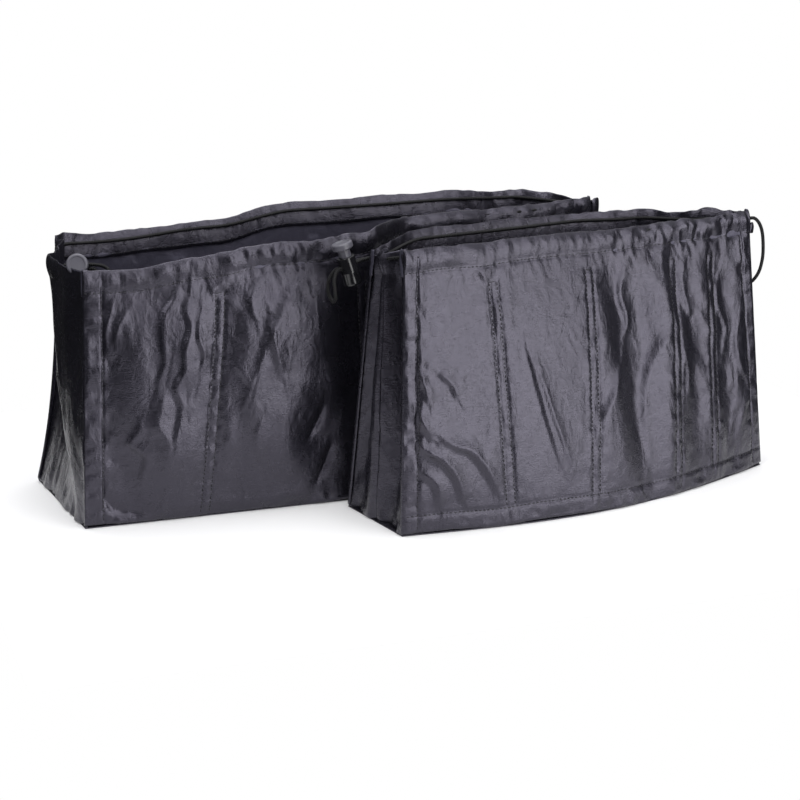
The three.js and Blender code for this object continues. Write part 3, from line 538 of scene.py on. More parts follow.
SMALL["creases"] = (
    (1.5, 1.6, 10, ((42, 146), (50, 137), (56, 128), (58, 116), (56, 98))),
    (1.5, 1.2, 8, ((75, 97), (78, 84), (81, 70), (84, 57), (92, 28))),
    (1.2, 1.2, 4, ((80, 86), (84, 72), (88, 58), (93, 42), (98, 28))),
    (3.6, 2.2, 8, ((3, 53), (12, 45), (20, 40), (29, 29), (33, 16))),
    (3.4, 2.2, 8, ((22, 50), (29, 46), (37, 43), (46, 33), (53, 20))),
    (3.4, 2.0, 7, ((1, 76), (8, 63), (15, 52))),
    (2.2, 1.6, 7, ((4, 92), (10, 82), (13, 72))),
    (2.8, 1.8, 6, ((10, 33), (18, 26), (20, 14))),
    (1.7, 1.5, 8, ((20, 86), (27, 80), (31, 72))),
    (2.2, 4.2, 13, ((178, 92), (168, 82), (160, 70), (156, 56), (155, 40), (156, 22))),
    (2.0, 3.0, 9, ((138, 78), (131, 63), (121, 50), (110, 28))),
    (1.8, 2.5, 7, ((186, 84), (190, 68), (187, 50))),
    (1.8, 2.2, 6, ((212, 46), (210, 36), (207, 24))),
    (1.8, 2.4, 8, ((150, 132), (146, 118), (150, 104), (144, 92))),
    (1.7, 2.2, 7, ((196, 132), (192, 118), (197, 100))),
    (1.7, 2.2, 6, ((224, 120), (220, 104), (226, 88), (221, 72))),
    (1.4, 2.0, 6, ((236, 92), (232, 76), (237, 60))),
)


def relief(insert, side, x, h, length):
    """How far cloth stands out at x along and h up a wall, in mm: the pockets' fullness, soft
    buckles, crumples and creases, puckers that fade from each row of stitches, and a groove
    under it; the strips and the band are doubled cloth with a step at their stitches."""
    width, seed = insert["width"], seeded(11, insert, side)
    share = x / width
    top = length - HEM_HEIGHT
    rows = insert["rows"]
    gather = along(insert["gather"][side], share)
    middle = np.sin(math.pi * np.clip(h / top, 0, 1))
    out = 1.6 * noise(x / 47 + 3, h / 61, seed) * middle
    out = out + 0.7 * noise(x / 19, h / 33 + 5, seed + 1) * middle
    crumpled = 0.75 * along(insert["crumpled"][side], share) * crumple(x / 24, h / 42, seed + 2)
    out = out + crumpled * (0.3 + 0.7 * middle)
    rolls = np.zeros(x.shape)
    if side == FRONT:
        for fold in insert["creases"]:
            out = out + crease(x, h, *fold)
        for height, step, points in insert["rolls"]:
            rolls = rolls + height * ease(beside(x, h, points)[0], -step / 2, step / 2)
        rolls = rolls - insert["rolls_down"]
    rolls = rolls * (0.35 + 0.65 * ease(h, 0, 45)) * ease(top - h, -4, 36)
    seams = np.full(x.shape, 1e9)
    row_top = top - ROW_TOP_BELOW_HEM
    for low, high in rows:
        centre = low + (high - low) * np.clip(h / row_top, 0, 1)
        off = np.abs(x - centre)
        above = np.clip(h - row_top, 0, None)
        seams = np.minimum(seams, np.hypot(np.abs(off - ROW_SPACING / 2), above))
        out = out * (1 - 0.7 * np.exp(-((off / 6) ** 2)) * np.exp(-((above / 3) ** 2)))
        ladder = np.cos(2 * math.pi * (h + 1.6 * noise(x / 9, h / 11, seed + 3)) / 5.5)
        out = out + 0.13 * ladder * np.exp(-(((off - ROW_SPACING / 2) / 2.6) ** 2) - above / 2)
        out = out + 0.6 * noise(x / 6 + 2, h / 5.2, seed + 4) * np.exp(-np.hypot(off, above) / 7)
    strip = insert["strip"]
    for edge in (x, width - x):
        ribs = 0.55 * noise(edge / 9, h / 3.6, seed + 5) + 0.5 * noise(edge / 7, h / 14, seed + 14)
        out = np.where(edge < strip, 0.6 + ribs, out)
        rolls = np.where(edge < strip, 0, rolls)
        beyond = np.exp(-np.abs(edge - strip) / 6)
        out = out + 0.9 * noise(edge / 5, h / 6, seed + 6) * beyond * (edge >= strip)
        seams = np.minimum(seams, np.abs(edge - strip))
    if insert["band"]:
        band = insert["band"]
        doubled = ease(h, band, band - 0.8)
        out = out * ease(h, band * 0.4, band * 2) + 0.5 * doubled
        out = out + 0.35 * noise(x / 9, h / 4, seed + 8) * np.exp(-np.abs(h - band) / 6)
        seams = np.minimum(seams, np.abs(h - band))
    near_hem = np.exp(-np.abs(h - top) / 9)
    puckers = 0.7 * noise(x / 3.4 + 0.1 * h, h / 9, seed + 9)
    puckers = puckers + 0.9 * noise(x / 8.5 - 0.05 * h, h / 15, seed + 10)
    out = out + gather * puckers * near_hem
    out = out - 0.6 * np.exp(-((seams / 0.85) ** 2))
    out = out - (0.25 + 0.3 * gather) * np.exp(-((np.abs(h - top) / 0.9) ** 2))
    gathered_foot = 1.1 * noise(x / 12, h / 8, seed + 12) + 0.7 * noise(x / 4.6, h / 5, seed + 13)
    out = (out + rolls) * ease(h, -2, 7) + gathered_foot * np.exp(-h / 6) * ease(h, -2, 2)
    return out * ease(x, -0.5, 2.5) * ease(width - x, -0.5, 2.5)


print("creases drawn:", len(LARGE["creases"]), "and", len(SMALL["creases"]))

# %% [markdown]
# On the real insert a wall is one piece of nylon. It turns under at the foot, rises, and is
# rolled over at the rim into the channel for the drawcord, then stitched down. A wall could
# be a flat plane with a tube on top, but the roll and the wall are one cloth, so one grid
# runs from under the foot, up, over the rim and down inside to the edge of the hem. Columns
# stand closer where the cloth has more detail. Behind, the hem leans out and is thinner on
# its inner side, as the photograph shows it from within.

# %% The grid of a wall
COLUMNS = 270
WALL_ROWS = 120
EVEN = ((0, 1), (1, 1))
LARGE["crowding"] = (
    ((0, 2.2), (0.035, 2.2), (0.06, 1.5), (0.5, 1.5), (0.56, 0.5), (1, 0.5)), EVEN,
)
SMALL["crowding"] = (
    ((0, 1.6), (0.04, 1.6), (0.06, 1), (0.94, 1), (0.96, 1.6), (1, 1.6)), EVEN,
)
HEM_ROWS = 26
FOOT_ROWS = np.array([(4.0, -0.95), (1.6, -0.9), (0.4, -0.5)])
CORNER_COLUMNS = np.array([(3.0, 0.0), (1.5, 0.5), (0.5, 0.35)])
TURNED = len(CORNER_COLUMNS)
SWELL = 1.15
PINCH = 0.45
INNER_SWELL = 0.4
BACK_HEM_LEAN = 2.6
HEM_EDGE = (1.8, 0.15)


def hem_roll(up, inward, swell, lift, q):
    """Cloth rolled over at the rim, from q = -1 at the outer stitches to q = 1 at the inner:
    rise = cos(pi q / 2), and half its thickness = swell sin(pi p) + pinch sin(pi q / 2), with
    p = q |q|^0.4, which puts the fullest part low in the channel."""
    low = q * np.abs(q) ** 0.4
    rise = (HEM_HEIGHT + lift) * np.cos(math.pi * q / 2)[:, None]
    depth = WALL_CLOTH / 2 + swell * np.sin(math.pi * low)[:, None]
    depth = depth + PINCH * np.sin(math.pi * q / 2)[:, None]
    return up[None] * rise[..., None] + inward * depth[..., None]


def hem_sway_shares(q):
    """How much a row of the hem shares in its sway: none at both stitches, all at the rim."""
    return np.sin(math.pi * (q + 1) / 2 * 0.999 + 0.0005)[:, None]


def tucked_under(first_row, inward):
    """Rows of cloth turned in under the foot, before the first row of a wall or end."""
    return first_row + inward * FOOT_ROWS[:, None, :1] + UP * FOOT_ROWS[:, None, 1:]


def hem_edge(hem, up, inward):
    """The hem's last row, turned down inside."""
    return hem[-1:] - up * HEM_EDGE[0] + inward * HEM_EDGE[1]


def column_shares(insert, side):
    """Shares across a wall for its columns, which stand closer where the crowding is higher."""
    u = np.linspace(0, 1, 4001)
    crowding = np.interp(u, *np.array(insert["crowding"][side]).T)
    passed = np.concatenate([[0], np.cumsum(crowding[1:])]) / crowding[1:].sum()
    return np.interp(np.linspace(0, 1, COLUMNS), passed, u)


def wall_grid(insert, side):
    """Points of a wall's cloth in rows from under the foot to the hem's inner edge, and the
    places (x, h) of the rows between foot and hem."""
    sign = (-1, 1)[side]
    u = np.concatenate([np.zeros(TURNED), column_shares(insert, side), np.ones(TURNED)])
    tuck, bulge = CORNER_COLUMNS.T
    tuck = np.concatenate([tuck, np.zeros(COLUMNS), tuck[::-1]])
    bulge = np.concatenate([-bulge, np.zeros(COLUMNS), bulge[::-1]])
    foot, rim = wall_lines(insert, side, u)
    up, length = upright(foot, rim)
    inward = np.array([0.0, -sign, 0.0])
    uneven = noise(u * insert["width"] / 26, 2, seeded(340, insert, side))
    foot = foot + UP * (0.9 + 0.9 * uneven)[:, None]
    ahead = np.gradient(foot + rim, axis=0)
    ahead[:TURNED], ahead[-TURNED:] = ahead[TURNED], ahead[-TURNED - 1]
    out = unit(np.cross(ahead, up)) * -sign
    foot = foot + inward * tuck[:, None] + ALONG * bulge[:, None]
    share = np.linspace(0, 1, WALL_ROWS)[:, None]
    h = share * (length - HEM_HEIGHT)
    x = np.broadcast_to(u * insert["width"], h.shape)
    raised = relief(insert, side, x, h, length)
    belly = insert["belly"] * np.sin(math.pi * h / length) * np.sin(math.pi * u)
    body = foot + up * h[..., None] - inward * belly[..., None] + out * raised[..., None]
    if side == BACK:
        body[..., 0] -= spread(insert, (1 - u) ** 3, h / length)

    seed = seeded(300, insert, side)
    gather = along(insert["gather"][side], u)
    along_rim = u * insert["width"]
    q = np.linspace(-1, 1, HEM_ROWS)[1:]
    lift = 0.5 * noise(along_rim / 4.1, 0, seed) + 0.7 * noise(along_rim / 11, 0, seed + 1)
    lift = gather * lift - 0.4
    ends = ease(u, 0, 0.02) * ease(1 - u, 0, 0.02)
    gathers = noise(along_rim[None] / 3.7 + q[:, None], q[:, None] * 2.1, seed + 2)
    crumples = crumple(along_rim[None] / 12, q[:, None] * 0.9 + 4, seed + 5)
    fuller = 1 + ends * gather * 0.7 * gathers
    fuller = fuller + 0.5 * ends * gather * crumples
    sway = 0.6 * noise(along_rim / 5.2, 3, seed + 3) + 1.2 * noise(along_rim / 17, 5, seed + 4)
    sway = ends * gather * sway
    if side == BACK:
        fuller = fuller * np.where(q > 0, INNER_SWELL, 1)[:, None]
        sway = sway + BACK_HEM_LEAN * ends
    roll = hem_roll(up, inward, SWELL * fuller, lift * ends, q)
    swaying = hem_sway_shares(q)
    kept = (1 - swaying) * np.exp(-((q[:, None] + 1) * 3))
    moved = raised[-1] * kept + sway * swaying
    hem = body[-1] - out * raised[-1][:, None] + roll + out * moved[..., None]
    rows = [tucked_under(body[0], inward), body, hem, hem_edge(hem, up, inward)]
    return np.concatenate(rows), x, h


walls = {}
for insert in (LARGE, SMALL):
    for side in (FRONT, BACK):
        walls[insert["name"], side] = wall_grid(insert, side)
print("wall grids", [grid.shape[:2] for grid, _, _ in walls.values()])

# %% [markdown]
# A wall bends where the open end of the mouth is pulled in, and stays put at the drawn end.
# A hinge across the cloth would show as a kink. Here each wall, and each piece on it, is only
# baked in place, not blended between the base and the body that folds.

# %% Bake a piece in place
SIDES = ("front", "back")


def fold_with(piece):
    """Bakes a piece's placement into its mesh. The piece is not blended between the base and the wall."""
    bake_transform(piece)


shells = []
for (name, side), (grid, x, h) in walls.items():
    insert = LARGE if name == "large" else SMALL
    prefix = f"{name}_{SIDES[side]}"
    cloth = placed(insert, grid)
    wall = surface(f"{prefix}_cloth", cloth, flip=side == BACK)
    fold_with(wall)
    halves = [f"{part}_{end}" for part in ("wall", "hem") for end in ("open_end", "drawn_end")]
    declare(wall, shells, "shell_nylon", *(f"{prefix}_{half}" for half in halves))

# %% [markdown]
# The open end is folded like a bellows so that the insert can lie flat. On the large insert
# the fold's ridge runs from the bottom front corner up to the middle of the rim, and the cloth
# behind it hangs inwards. One sheet could cover the whole end, but on the insert its front half
# moves with the front wall and its back half with the back wall, so it is two leaves that meet
# on the middle line. Each leaf is baked in place.

# %% The grid of a folded end
END_ROWS = 84
RIDGE = ((0, 0.02), (0.15, 0.15), (0.35, 0.35), (0.5, 0.45), (0.75, 0.52), (1, 0.55))
LARGE_FOLD = ((0, 0), (0.5, 0.27), (0.74, -1), (1, 0))
SMALL_FOLD = ((0, 0), (0.3, -1), (0.6, 0.3), (0.8, -0.45), (1, 0))


def softened(table, place):
    """A table read in straight steps, with each corner rounded by averaging five readings."""
    places, values = np.array(table, float).T
    return sum(np.interp(place + 0.03 * k, places, values) for k in (-2, -1, 0, 1, 2)) / 5


def end_folds(insert, w, t):
    """How far an open end stands out at shares w across and t up, in mm. On the large insert
    the fold table is read on both sides of a ridge that climbs from the front corner."""
    if insert is LARGE:
        ridge = along(RIDGE, t)
        place = np.where(w <= ridge, 0.5 * w / ridge, 0.5 + 0.5 * (w - ridge) / (1 - ridge))
        return insert["fold"] * softened(LARGE_FOLD, place) * np.sin(math.pi * t) + spread(insert, w, t)
    return insert["fold"] * softened(SMALL_FOLD, w) * np.sin(math.pi * (0.1 + 0.9 * t))


def end_lines(insert, place, w):
    """Foot and rim of an end between the inner faces of its two walls, with the rim's bow."""
    lines = [wall_lines(insert, side, place) for side in (FRONT, BACK)]
    inset = np.array([0, WALL_CLOTH + SEAM_GAP, 0])
    front, back = ([line + sign * inset for line in pair] for pair, sign in zip(lines, (1, -1)))
    foot, rim = (a + (b - a) * w[:, None] for a, b in zip(front, back))
    if place == 0:
        rim = rim - ALONG * (insert["bow"] * along(insert["bow_shares"], w))[:, None]
    return foot, rim


def end_grid(insert, low, high, columns, swell_table, gather_table):
    """Points of a leaf of the open end, from share low to share high across, in rows from
    under its foot to the inner edge of its hem."""
    w = np.linspace(low, high, columns)
    foot, rim = end_lines(insert, 0, w)
    up, length = upright(foot, rim)
    inward = ALONG
    h = np.linspace(0, 1, END_ROWS)[:, None] * (length - HEM_HEIGHT)
    seed = 500 if insert is LARGE else 600
    across = w * np.linalg.norm(foot[-1] - foot[0]) / (high - low)
    middle = np.sin(math.pi * np.clip(h / length.mean(), 0, 1))
    t = h / length
    out = end_folds(insert, w[None], t) + 0.9 * noise(across / 13, h / 37, seed) * middle
    out = out + 0.8 * crumple(across / 17, h / 40, seed + 1) * middle
    low_folds = 2.0 * noise(across / 11, 0, seed + 7) + 1.2 * noise(across / 5, h / 9, seed + 8)
    out = out + low_folds * np.exp(-h / 14)
    gather = along(gather_table, w)
    near_hem = np.exp(-(length - HEM_HEIGHT - h) / 9)
    out = out + 1.3 * gather * noise(across / 4, h / 16, seed + 2) * near_hem
    body = foot + up * h[..., None] - inward * out[..., None]
    q = np.linspace(-1, 1, HEM_ROWS)[1:]
    swell = SWELL * along(swell_table, w)
    lift = gather * (1.5 * noise(across / 4.2, 0, seed + 3) + 0.6 * noise(across / 9, 0, seed + 4))
    fuller = 1 + gather * 0.5 * noise(across[None] / 3.7, q[:, None] * 1.6, seed + 5)
    fuller = fuller * np.where(q > 0, INNER_SWELL, 1)[:, None]
    roll = hem_roll(up, inward, swell * fuller, lift, q)
    sway = gather * 1.5 * noise(across / 4.8, 9, seed + 6)
    hem = body[-1] + roll - inward * (sway * hem_sway_shares(q))[..., None]
    return np.concatenate([tucked_under(body[0], inward), body, hem, hem_edge(hem, up, inward)])


def blend_across_end(piece):
    """Bakes a piece's placement into its mesh. The piece is not blended across the end."""
    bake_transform(piece)


END_COLUMNS = {"large": 56, "small": 44}
END_SWELL = {
    "large": ((0, 0.12), (0.3, 0.15), (0.42, 1), (1, 1)),
    "small": ((0, 0.3), (0.14, 0.4), (0.24, 1), (1, 1)),
}
END_GATHER = {
    "large": ((0, 0.1), (0.4, 0.15), (0.6, 0.9), (1, 1.3)),
    "small": ((0, 1), (0.5, 1.2), (1, 1.2)),
}
LEAVES = {FRONT: (0, 0.5), BACK: (0.5, 1)}
for insert in (LARGE, SMALL):
    name = insert["name"]
    for side, (low, high) in LEAVES.items():
        grid = end_grid(insert, low, high, END_COLUMNS[name], END_SWELL[name], END_GATHER[name])
        cloth = placed(insert, grid)
        title = f"{name}_open_end_{SIDES[side]}_leaf"
        leaf = surface(title, cloth, flip=True)
        blend_across_end(leaf)
        parts = ("gusset", "hem") if side == FRONT else ()
        declare(leaf, shells, "shell_nylon", *(f"{name}_open_end_{part}" for part in parts))

# %% [markdown]
# At the drawn end the walls come together. The end cloth tucks in between them, and the hem
# turns round in a tight half circle with the cord inside it. The half circle is the hem's own
# section carried round an arc, because that keeps the rolled look of the rest.

# %% The drawn ends
DRAWN_COLUMNS = 48
ARC_COLUMNS = 40
DRAWN_HEM = {"large": (1, 1.0), "small": (0.45, 0.5)}


def drawn_gusset(insert, seed):
    """The end's cloth: a half wave deep between the walls, wrinkled in the middle."""
    w = np.linspace(0, 1, DRAWN_COLUMNS)
    foot, rim = end_lines(insert, 1, w)
    up, length = upright(foot, rim)
    t = np.linspace(0, 1, END_ROWS)[:, None]
    h = t * (length - HEM_HEIGHT * 0.55)
    deep = insert["drawn_fold"] * np.sin(math.pi * w)
    deep = deep * np.sin(math.pi * np.clip(h / length, 0, 1) / 2)
    across = w * np.linalg.norm(foot[-1] - foot[0])
    wrinkle = 0.9 * crumple(across / 9, h / 30, seed) * np.sin(math.pi * w) * np.sin(math.pi * t)
    grid = foot + up * h[..., None] - ALONG * (deep + wrinkle)[..., None]
    return np.concatenate([tucked_under(grid[0], -ALONG), grid])


def drawn_hem(insert, seed):
    """The end's hem: its section carried round a half circle from wall to wall."""
    lines = [wall_lines(insert, side, 1) for side in (FRONT, BACK)]
    low_ends = [
        rim - unit(rim - foot) * HEM_HEIGHT + np.array([0, sign * WALL_CLOTH / 2, 0])
        for (foot, rim), sign in zip(lines, (1, -1))
    ]
    angle = np.linspace(-math.pi / 2, math.pi / 2, ARC_COLUMNS)
    radial = np.stack([np.cos(angle), np.sin(angle), 0 * angle], -1)
    radius = abs(low_ends[1][1] - low_ends[0][1]) / 2
    centre = (low_ends[0] + low_ends[1]) / 2 + radial * radius
    centre[:, 2] = np.interp(angle, angle[[0, -1]], [low_ends[0][2], low_ends[1][2]])
    q = np.linspace(-1, 1, HEM_ROWS)
    tall, thick = DRAWN_HEM[insert["name"]]
    lift = 1.1 * noise(angle * 2.6, 0, seed + 3)
    rise = (HEM_HEIGHT * tall + lift) * np.cos(math.pi * q / 2)[:, None]
    fuller = 1 + 0.45 * noise(angle[None] * 3.1, q[:, None] * 1.4, seed + 4)
    half = thick * fuller * np.sin(math.pi * q)[:, None]
    half = half + PINCH * np.sin(math.pi * q / 2)[:, None]
    return centre + UP * rise[..., None] - radial * half[..., None]


for insert, seed in ((LARGE, 700), (SMALL, 800)):
    name, title = insert["name"], f"{insert['name']}_drawn_end"
    cloth = placed(insert, drawn_gusset(insert, seed))
    end = surface(f"{title}_cloth", cloth)
    declare(end, shells, "shell_nylon", f"{title}_gusset", body=f"{name}_base")
    cloth = placed(insert, drawn_hem(insert, seed))
    hem = surface(f"{title}_hem_cloth", cloth)
    declare(hem, shells, "shell_nylon", f"{title}_hem", body=f"{name}_base")

# %% [markdown]
# Inside each wall hangs a second layer, stitched along the dividers to make a row of pockets.
# Its mouth is a narrow turned edge a finger's width below the hem. It could be a copy of the
# wall, but it is cut fuller than the wall and so wrinkles more, and it gets its own folds on
# top of the wall's.

# %% The pocket layers
POCKET_LOW = 7
POCKET_DROP = 24
POCKET_ROWS = 84
POCKET_COLUMNS = {"large": 190, "small": 160}
POCKET_CLOTH = 0.3
MOUTH_ROWS = np.array([(0.5, 0.5), (0.9, 0.2), (1.0, -4.0)])


def pocket_grid(insert, side):
    """A pocket layer in the insert's mm. Between two dividers it stands off the wall by the
    square of a half wave; its own folds grow towards the mouth, whose edge is turned in."""
    width = insert["width"]
    u = np.linspace(*insert["pockets"], POCKET_COLUMNS[insert["name"]])
    foot, rim = wall_lines(insert, side, u)
    up, length = upright(foot, rim)
    top = length - POCKET_DROP
    t = np.linspace(0, 1, POCKET_ROWS)[:, None]
    h = POCKET_LOW + t * (top - POCKET_LOW)
    x = np.broadcast_to(u * width, h.shape)
    seed = 900 + 10 * side + (0 if insert is LARGE else 50)
    stops = np.array([0, *(low for low, high in insert["rows"]), width], float)
    slot = np.clip(np.searchsorted(stops, x, side="right"), 1, len(stops) - 1)
    rise = np.sin(math.pi * (x - stops[slot - 1]) / (stops[slot] - stops[slot - 1])) ** 2
    depth = WALL_CLOTH + SEAM_GAP + (1.6 + 1.4 * noise(x / 31, h / 44, seed)) * rise * t
    crinkled = (0.3 + 0.7 * rise) * (1 + crumple(x / 16, h / 17, seed + 1))
    depth = depth + crinkled * 1.7 * (0.15 + 0.85 * t)
    depth = depth + 0.5 * rise * (1 + noise(x / 5, h / 6, seed + 3)) * np.exp(-(top - h) / 8)
    belly = insert["belly"] * np.sin(math.pi * h / length) * np.sin(math.pi * u)
    raised = relief(insert, side, x, h, length)
    inward = np.array([0.0, (1, -1)[side], 0.0])
    layer = foot + up * h[..., None] + inward * (depth - belly - raised)[..., None]
    mouth = layer[-1] + inward * MOUTH_ROWS[:, None, :1] + up * MOUTH_ROWS[:, None, 1:]
    return np.concatenate([layer, mouth])


pockets = []
for insert in (LARGE, SMALL):
    for side in (FRONT, BACK):
        prefix = f"{insert['name']}_{SIDES[side]}"
        title, cloth = f"{prefix}_pocket_layer", placed(insert, pocket_grid(insert, side))
        held_by, flip = [f"{prefix}_cloth"], side == FRONT
        pocket = surface(title, cloth, POCKET_CLOTH, flip=flip)
        fold_with(pocket)
        halves = [f"{prefix}_pockets_{end}" for end in ("open_end", "drawn_end")]
        declare(pocket, pockets, "pocket_nylon", *halves)

# %% [markdown]
# The base is a flat panel of the same nylon. It carries no stiffener, so it follows the feet
# of the walls, which close towards the drawn end. A rectangle would stick out there, so the
# panel is a grid ruled from the front foot line to the back one.

# %% The bases
BASE_CLOTH = 0.5
BASE_ROWS, BASE_COLUMNS = 40, 120
bases = []
for insert, seed in ((LARGE, 1000), (SMALL, 1010)):
    name = insert["name"]
    u = np.linspace(0, 1, BASE_COLUMNS)
    front, back = (wall_lines(insert, side, u)[0] for side in (FRONT, BACK))
    back[:, 0] -= spread(insert, (1 - u) ** 3, 0)
    t = np.linspace(0.01, 0.99, BASE_ROWS)[:, None, None]
    grid = front * (1 - t) + back * t
    x, y = grid[..., 0], grid[..., 1]
    edge = np.sin(math.pi * t[..., 0]) * np.sin(math.pi * u)
    grid[..., 2] = 0.75 + 0.35 * edge * (1 + crumple(x / 25, y / 20, seed))
    cloth = placed(insert, grid)
    base = surface(f"{name}_base_cloth", cloth, thickness=BASE_CLOTH)
    declare(base, bases, "shell_nylon", f"{name}_base_panel", body=f"{name}_base")

# %% [markdown]
# The drawcord runs inside the hems and shows only where it comes out at the locks and at the
# small insert's drawn end. Its runs follow the channels of the solids. Between the wall that
# holds a run and the lock it is cut into stretches, and each stretch, like the rest of the run,
# is baked in place.

# %% The held cord
CHANNEL_DROP = 0.3
RUN_SIDES = 12


def hem_centre(insert, side, u):
    """The middle of the hem's channel, 0.7 of the hem's height above its stitches."""
    foot, rim = wall_lines(insert, side, u)
    inward = np.array([0.0, (1, -1)[side] * WALL_CLOTH / 2, 0.0])
    return rim - unit(rim - foot) * HEM_HEIGHT * CHANNEL_DROP + inward


def end_centre(insert, w):
    """The middle of the channel round the open end."""
    foot, rim = end_lines(insert, 0, w)
    return rim - unit(rim - foot) * HEM_HEIGHT * CHANNEL_DROP + ALONG * WALL_CLOTH / 2


SMALL_CENTRE = np.array((-132.03, 12.98, 140.98))
LARGE_CENTRE = np.array((-156.52, -24.01, 140.04))
large_front = hem_centre(LARGE, FRONT, np.linspace(6 / 328, 0.995, 40))
large_back = hem_centre(LARGE, BACK, np.linspace(0.02, 0.995, 40))
small_front = hem_centre(SMALL, FRONT, np.linspace(6 / 251, 0.99, 36))
small_back = hem_centre(SMALL, BACK, np.linspace(6 / 251, 0.98, 36))
runs = {
    "large_front": (LARGE, FRONT, [
        (-151.85, -25.83, 138.94), (-156.62, -24.34, 138.95), (-161.4, -22.86, 138.95),
        (-163.3, -22.26, 138.96), (-161.02, -30.51, 134.04), (-156.02, -40.01, 134.54),
        (-155.44, -47.4, 137.67), *large_front,
    ]),
    "large_back": (LARGE, BACK, [
        (-151.64, -25.16, 141.13), (-156.41, -23.68, 141.14), (-161.18, -22.19, 141.15),
        (-163.09, -21.6, 141.15), *end_centre(LARGE, np.linspace(0.34, 0.94, 8)), *large_back,
    ]),
    "small_front": (SMALL, FRONT, [
        (-136.83, 14.12, 139.58), (-132, 14.12, 140.88), (-127.18, 14.12, 142.19),
        (-123.8, 14.12, 143.11), (-116.43, 2.5, 145.78),
        *end_centre(SMALL, np.linspace(0.78, 0.18, 8)), *small_front,
    ]),
    "small_back": (SMALL, BACK, [
        (-136.88, 11.83, 139.78), (-132.06, 11.83, 141.08), (-127.23, 11.83, 142.39),
        (-123.85, 11.83, 143.31), *small_back,
    ]),
}
# Each stretch before a run: its last point on the line, the two bodies that it lies between, and
# where the change from one to the other starts and ends. A stretch without a start is in the open end.
STRETCHES = {
    "large_front": (
        (24, "front_wall", "lock", (-156, -44, 137), (-156, -28, 137)),
    ),
    "large_back": (
        (11, "front_wall", "lock", (-163, -17.8, 141), (-163, -21.4, 141)),
        (15, "base", "front_wall", (-163, -9, 141), (-163, -16.8, 141)),
        (33, "base", "back_wall", None, None),
    ),
    "small_front": (
        (10, "back_wall", "lock", (-118, 10.6, 144), (-118, 13.6, 144)),
        (18, "base", "back_wall", (-118, 3, 144), (-118, 9.5, 144)),
        (36, "base", "front_wall", None, None),
    ),
    "small_back": (
        (15, "back_wall", "lock", (-118, 12, 143), (-123.8, 12, 143)),
    ),
}
nodes = {"large_front": ["large_drawcord"], "large_back": [],
         "small_front": ["small_drawcord_front"], "small_back": ["small_drawcord_back"]}
for name, (insert, side, points) in runs.items():
    line = placed(insert, through(np.array(points), 3))
    first = 0
    for number, (last, body_a, body_b, start, end) in enumerate(STRETCHES[name], 1):
        title = f"{name}_stretch_{number}_braid"
        stretch = tube(title, line[first:last + 1], CORD, sides=RUN_SIDES)
        if start is None:
            blend_across_end(stretch)
        else:
            start, end = placed(insert, [start, end]) * MM
            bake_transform(stretch)
        declare(stretch, cords, "cord")
        first = last
    run = tube(f"{name}_run_braid", line[first:], CORD, sides=RUN_SIDES)
    fold_with(run)
    declare(run, cords, "cord", *nodes[name])
print("held runs", len(runs))

# %% [markdown]
# Each lock is a small turned barrel with a sprung plunger. Barrel and plunger have a slot
# across for the two strands of cord, and pressing the round button frees them. Turned parts
# are profiles carried round an axis. The slots are cut with a boolean, because a slot that
# crosses a round wall has no simple grid.

# %% The cord locks
SLOT_STEPS = 24
STRAND_APART = 1.15
SHARP_DEGREES = 38
TURNED_SIDES = 64


def cut_slot(part, half, low, high, reach):
    """Cuts a slot for two strands right through a part: two half circles, at two heights,
    each drawn apart sideways."""
    turn = np.linspace(0, 2 * math.pi, SLOT_STEPS + 1)[:-1]
    across = half * np.cos(turn) + STRAND_APART * np.sign(np.cos(turn + 1e-6))
    height = np.where(turn < math.pi, high, low) + half * np.sin(turn)
    prism = np.stack([np.stack([across * 0 + x, across, height], 1) for x in (-reach, reach)])
    cap = np.arange(SLOT_STEPS)[None]
    faces = [grid_faces(2, SLOT_STEPS, ring=True), cap[:, ::-1], cap + SLOT_STEPS]
    cutter = mesh_object("cutter", prism.reshape(-1, 3), faces)
    cut = part.modifiers.new("slot", "BOOLEAN")
    cut.object, cut.solver = cutter, "EXACT"
    bpy.context.view_layer.update()
    shaped = part.evaluated_get(bpy.context.evaluated_depsgraph_get())
    cut_mesh = bpy.data.meshes.new_from_object(shaped)
    part.modifiers.clear()
    part.data = cut_mesh
    bpy.data.objects.remove(cutter)


def turned_part(name, profile, lock, slot):
    """A profile of (radius, height) carried round the lock's axis, cut by its slot, and put
    in the lock's place."""
    profile, sides = np.array(profile, float), TURNED_SIDES
    turn = np.arange(sides) * 2 * math.pi / sides
    radius, height = profile[1:-1, 0, None], profile[1:-1, 1, None]
    ring = np.stack([radius * np.cos(turn), radius * np.sin(turn), height + 0 * turn], -1)
    rows = len(profile) - 2
    tips = [[0, 0, profile[0, 1]], [0, 0, profile[-1, 1]]]
    faces = [grid_faces(rows, sides, ring=True), ring_caps(rows, sides)]
    part = mesh_object(name, np.concatenate([ring.reshape(-1, 3), tips]), faces)
    cut_slot(part, *slot)
    part.data.set_sharp_from_angle(angle=math.radians(SHARP_DEGREES))
    points = np.empty(len(part.data.vertices) * 3, np.float32)
    part.data.vertices.foreach_get("co", points)
    axes, centre, insert = lock
    moved = placed(insert, points.reshape(-1, 3) / MM @ axes + centre) * MM
    part.data.vertices.foreach_set("co", moved.astype(np.float32).ravel())
    part.data.update()
    print(name, len(part.data.polygons), "faces")
    return part


def rounded(radius, height, size, start, end):
    """Points of a rounded corner of a profile about (radius, height)."""
    turn = np.linspace(start, end, 8)
    return [(radius + size * math.cos(a), height + size * math.sin(a)) for a in turn]


def lock_axes(button, leaves):
    """The lock's own axes as rows: Z towards the button, X the way its cord leaves."""
    z = unit(np.array(button, float))
    x = np.array(leaves, float)
    x = unit(x - z * (x @ z))
    return np.stack([x, np.cross(z, x), z])


